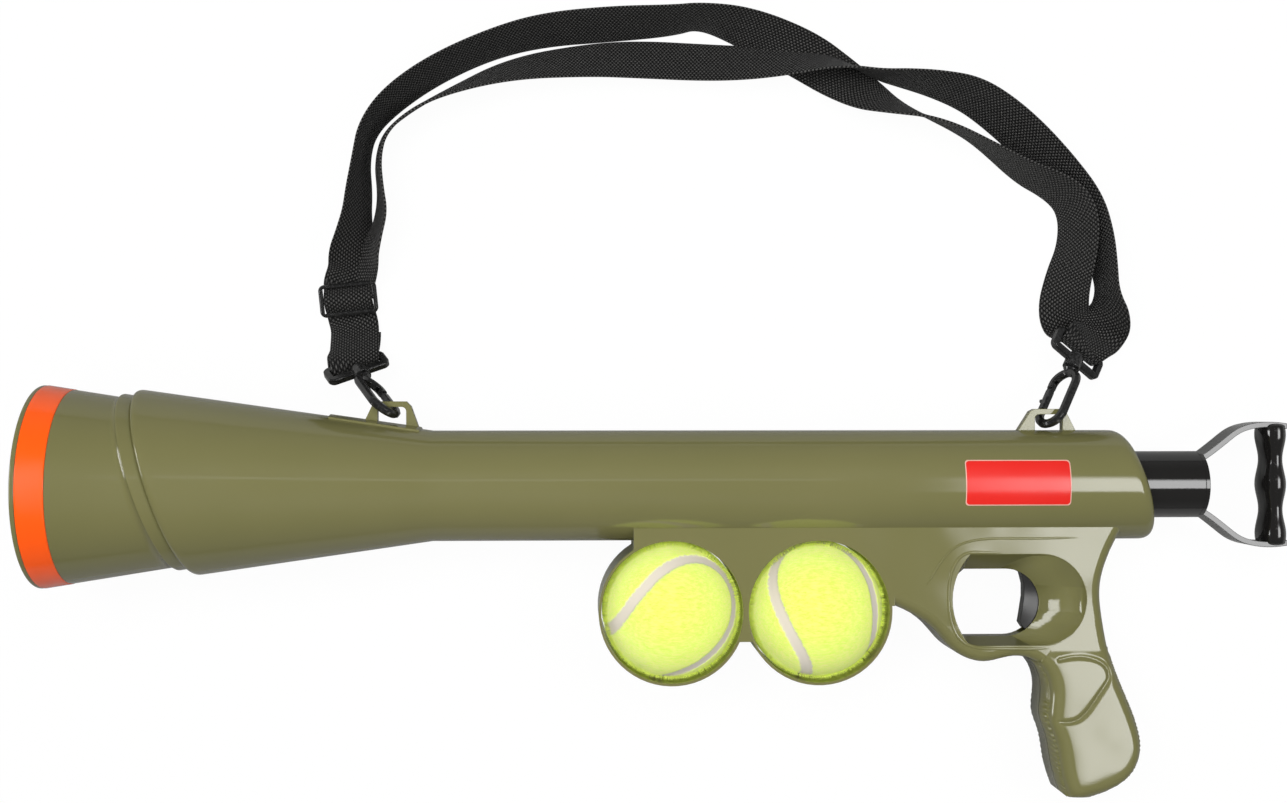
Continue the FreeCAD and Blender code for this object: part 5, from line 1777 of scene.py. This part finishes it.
@dataclass
class PullBar:
    """Waved black hand grip between the handle's arms."""

    station: float = 580.1
    reach: float = 29.4
    half_width: float = 5.5
    half_depth: float = 9.5
    wave: float = 0.85
    wave_length: float = 24.0
    end_round: float = 1.2
    end_least: float = 0.36
    rings: int = 90
    sides: int = 64

    def build(self) -> None:
        """Oval rings whose half axes go as w + wave cos(2 pi y / length), with rounded ends."""
        y = np.linspace(-self.reach, self.reach, self.rings)
        swell = self.wave * np.cos(2 * math.pi * y / self.wave_length)
        into = np.clip((np.abs(y) - self.reach + self.end_round) / self.end_round, 0, 1)
        end = np.sqrt(np.clip(1 - into ** 2, self.end_least, 1))
        angle = np.linspace(0, 2 * math.pi, self.sides, endpoint=False)
        wide = (self.half_width + swell) * end
        deep = (self.half_depth + swell) * end
        points = np.stack([self.station + wide[:, None] * np.cos(angle),
                           np.repeat(y[:, None], self.sides, axis=1), deep[:, None] * np.sin(angle)], -1)
        made = linked("pull_bar", grid_mesh("pull_bar", laid_down(points), around=True, caps=True, flip=True))
        dress(made, BLACK_GLOSS.material())
        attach(made, "plunger")
        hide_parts("handle_grip")
        LOG.info("handle: waved bar")


@dataclass
class Plain:
    """CAD nodes that keep their own mesh and only take a finish."""

    finishes: tuple[tuple[Finish, tuple[str, ...]], ...] = (
        (BLACK_GLOSS, ("plunger_tube", "handle_yoke")),
        (TRIGGER_PLASTIC, ("trigger",)),
        (INNER_PLASTIC, ("striker_head", "spring_seat_collar", "rear_guide_bush", "sear")),
        (FOAM, ("striker_pad",)),
        (HOOK_METAL, ("front_hook_body", "rear_hook_body", "front_hook_gate", "rear_hook_gate",
                      "front_gate_pin", "rear_gate_pin", "front_swivel_base", "rear_swivel_base",
                      "strap_slider")),
        (SCREW_STEEL, ("striker_screw", "handle_screw", "trigger_pin", "sear_pin", "body_screws")),
        (SPRING_STEEL, ("trigger_return_spring", "sear_spring")))

    def build(self) -> None:
        """Gives each listed node its material."""
        for finish, nodes in self.finishes:
            material = finish.material()
            for node in nodes:
                dress(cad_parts[node], material)
        LOG.info("plain nodes: %d", sum(len(nodes) for _, nodes in self.finishes))


# Studio.


@dataclass(frozen=True)
class SoftBox:
    """A rectangular lamp whose brightness fades towards its edges."""

    name: str
    place: tuple[float, float, float]
    target: tuple[float, float, float]
    size: tuple[float, float]
    power: float
    fades: tuple[float, float, float, float] = (0.0, 0.0, 0.0, 0.0)
    mirrored: bool = True

    def feather(self, light: bpy.types.Light) -> None:
        """Scales the lamp by (distance to an edge) / (fade width), held at 1, for its four edges.

        Args:
            light: the lamp's data.
        """
        light.use_nodes = True
        nodes, links = light.node_tree.nodes, light.node_tree.links
        split = nodes.new("ShaderNodeSeparateXYZ")
        links.new(nodes.new("ShaderNodeNewGeometry").outputs["Parametric"], split.inputs[0])
        level = None
        for output, near, width in zip("XXYY", (0.0, 1.0, 0.0, 1.0), self.fades):
            edge = nodes.new("ShaderNodeMapRange")
            edge.interpolation_type = "SMOOTHSTEP"
            set_range(edge, near, near + width if near == 0.0 else near - width, 0.0, 1.0)
            links.new(split.outputs[output], edge.inputs["Value"])
            if level is None:
                level = edge.outputs["Result"]
                continue
            product = nodes.new("ShaderNodeMath")
            product.operation = "MULTIPLY"
            links.new(level, product.inputs[0])
            links.new(edge.outputs["Result"], product.inputs[1])
            level = product.outputs[0]
        links.new(level, nodes["Emission"].inputs["Strength"])

    def build(self) -> None:
        """Hangs the lamp facing its target; one that isn't mirrored doesn't show in reflections."""
        light = bpy.data.lights.new(self.name, "AREA")
        light.shape = "RECTANGLE"
        light.size, light.size_y = self.size
        light.energy = self.power
        if any(self.fades):
            self.feather(light)
        holder = bpy.data.objects.new(self.name, light)
        holder.location = self.place
        holder.rotation_euler = (Vector(self.target) - Vector(self.place)).to_track_quat("-Z", "Y").to_euler()
        holder.visible_camera = False
        holder.visible_glossy = self.mirrored
        bpy.context.scene.collection.objects.link(holder)


BOXES = (
    SoftBox("soft_box_right", (0.66, 0.1, 0.9), (0.66, 0.1, 0.0), (0.66, 0.56), 6.0,
            (0.28, 0.001, 0.1, 0.3)),
    SoftBox("soft_box_left", (-1.5, 0.1, 0.3), (-0.2, 0.0, 0.05), (0.6, 0.5), 6.0, (0.2, 0.2, 0.2, 0.2)),
    SoftBox("strip_above", (0.05, 0.3, 1.1), (0.05, 0.3, 0.0), (0.55, 0.06), 0.08, (0.15, 0.1, 0.4, 0.4)),
    SoftBox("fill_far", (-0.2, 0.4, 1.15), (-0.05, 0.0, 0.0), (1.5, 0.5), 11.0, mirrored=False),
    SoftBox("fill_near", (-0.2, -0.1, 1.15), (-0.05, 0.0, 0.0), (1.5, 0.4), 8.0, mirrored=False),
)


@dataclass
class Studio:
    """White table, soft boxes above it and a dim room.

    The room's light falls from horizon to ceiling between two heights of the sky.
    """

    floor_size: float = 6.0
    floor_low: float = -0.0004
    floor_colour: tuple[float, ...] = (0.3, 0.3, 0.295, 1.0)
    shown: float = 0.9
    glow: float = 1.07
    horizon: float = 0.16
    ceiling: float = 0.1
    sky: tuple[float, float] = (0.12, 0.5)

    def floor(self) -> None:
        """A pale table that keeps the launcher's soft shadow."""
        ends = np.array([-1, 1]) * self.floor_size / 2
        x, y = np.meshgrid(ends, ends)
        points = np.stack([x, y, np.full_like(x, self.floor_low)], -1)
        made = linked("table_top", grid_mesh("table_top", points))
        shader = Shader("table_white")
        shader.set(Socket.COLOUR, self.floor_colour)
        shader.set(Socket.ROUGHNESS, 0.8)
        shader.set(Socket.SPECULAR, 0.1)
        path = shader.node("ShaderNodeLightPath")
        glow = shader.node("ShaderNodeEmission", Strength=self.glow)
        glow.inputs["Color"].default_value = (1.0, 1.0, 1.0, 1.0)
        mix = shader.node("ShaderNodeMixShader")
        shader.links.new(shader.product(path.outputs["Is Camera Ray"], self.shown), mix.inputs[0])
        shader.links.new(shader.surface.outputs[0], mix.inputs[1])
        shader.links.new(glow.outputs[0], mix.inputs[2])
        shader.links.new(mix.outputs[0], shader.nodes["Material Output"].inputs["Surface"])
        dress(made, shader.finish())

    def room(self) -> None:
        """Dim walls that fade into a darker ceiling; the camera sees plain white."""
        world = bpy.data.worlds.new("room")
        bpy.context.scene.world = world
        world.use_nodes = True
        nodes, links = world.node_tree.nodes, world.node_tree.links
        dim, bright = nodes["Background"], nodes.new("ShaderNodeBackground")
        split, level = nodes.new("ShaderNodeSeparateXYZ"), nodes.new("ShaderNodeMapRange")
        links.new(nodes.new("ShaderNodeTexCoord").outputs["Generated"], split.inputs[0])
        set_range(level, *self.sky, self.horizon, self.ceiling)
        level.clamp = True
        links.new(split.outputs["Z"], level.inputs["Value"])
        links.new(level.outputs["Result"], dim.inputs["Strength"])
        for background in (dim, bright):
            background.inputs["Color"].default_value = (1, 1, 1, 1)
        bright.inputs["Strength"].default_value = 1.0
        path, mix = nodes.new("ShaderNodeLightPath"), nodes.new("ShaderNodeMixShader")
        links.new(path.outputs["Is Camera Ray"], mix.inputs[0])
        links.new(dim.outputs[0], mix.inputs[1])
        links.new(bright.outputs[0], mix.inputs[2])
        links.new(mix.outputs[0], nodes["World Output"].inputs["Surface"])

    def build(self) -> None:
        """Makes the table, the room and the lamps."""
        self.floor()
        self.room()
        for box in BOXES:
            box.build()
        bpy.context.scene.view_settings.view_transform = "Standard"
        LOG.info("studio: %d lamps", len(BOXES))


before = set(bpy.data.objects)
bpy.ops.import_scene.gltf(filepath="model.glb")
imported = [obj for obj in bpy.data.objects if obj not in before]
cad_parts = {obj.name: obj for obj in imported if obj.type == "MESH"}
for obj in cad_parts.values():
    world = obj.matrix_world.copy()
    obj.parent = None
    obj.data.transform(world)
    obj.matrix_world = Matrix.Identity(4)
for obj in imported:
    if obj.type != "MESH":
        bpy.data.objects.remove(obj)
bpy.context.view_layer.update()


def main() -> None:
    """Builds the whole launcher."""
    logging.basicConfig(level=logging.INFO, format="%(name)s %(message)s")
    PhotoView().build()
    for part in (Strap(), Barrel(), Muzzle(), Sticker(), GripSkins(), GapRims(), Balls(), MainSpring(),
                 PullBar(), Plain(), Studio()):
        part.build()


if __name__ == "__main__":
    main()
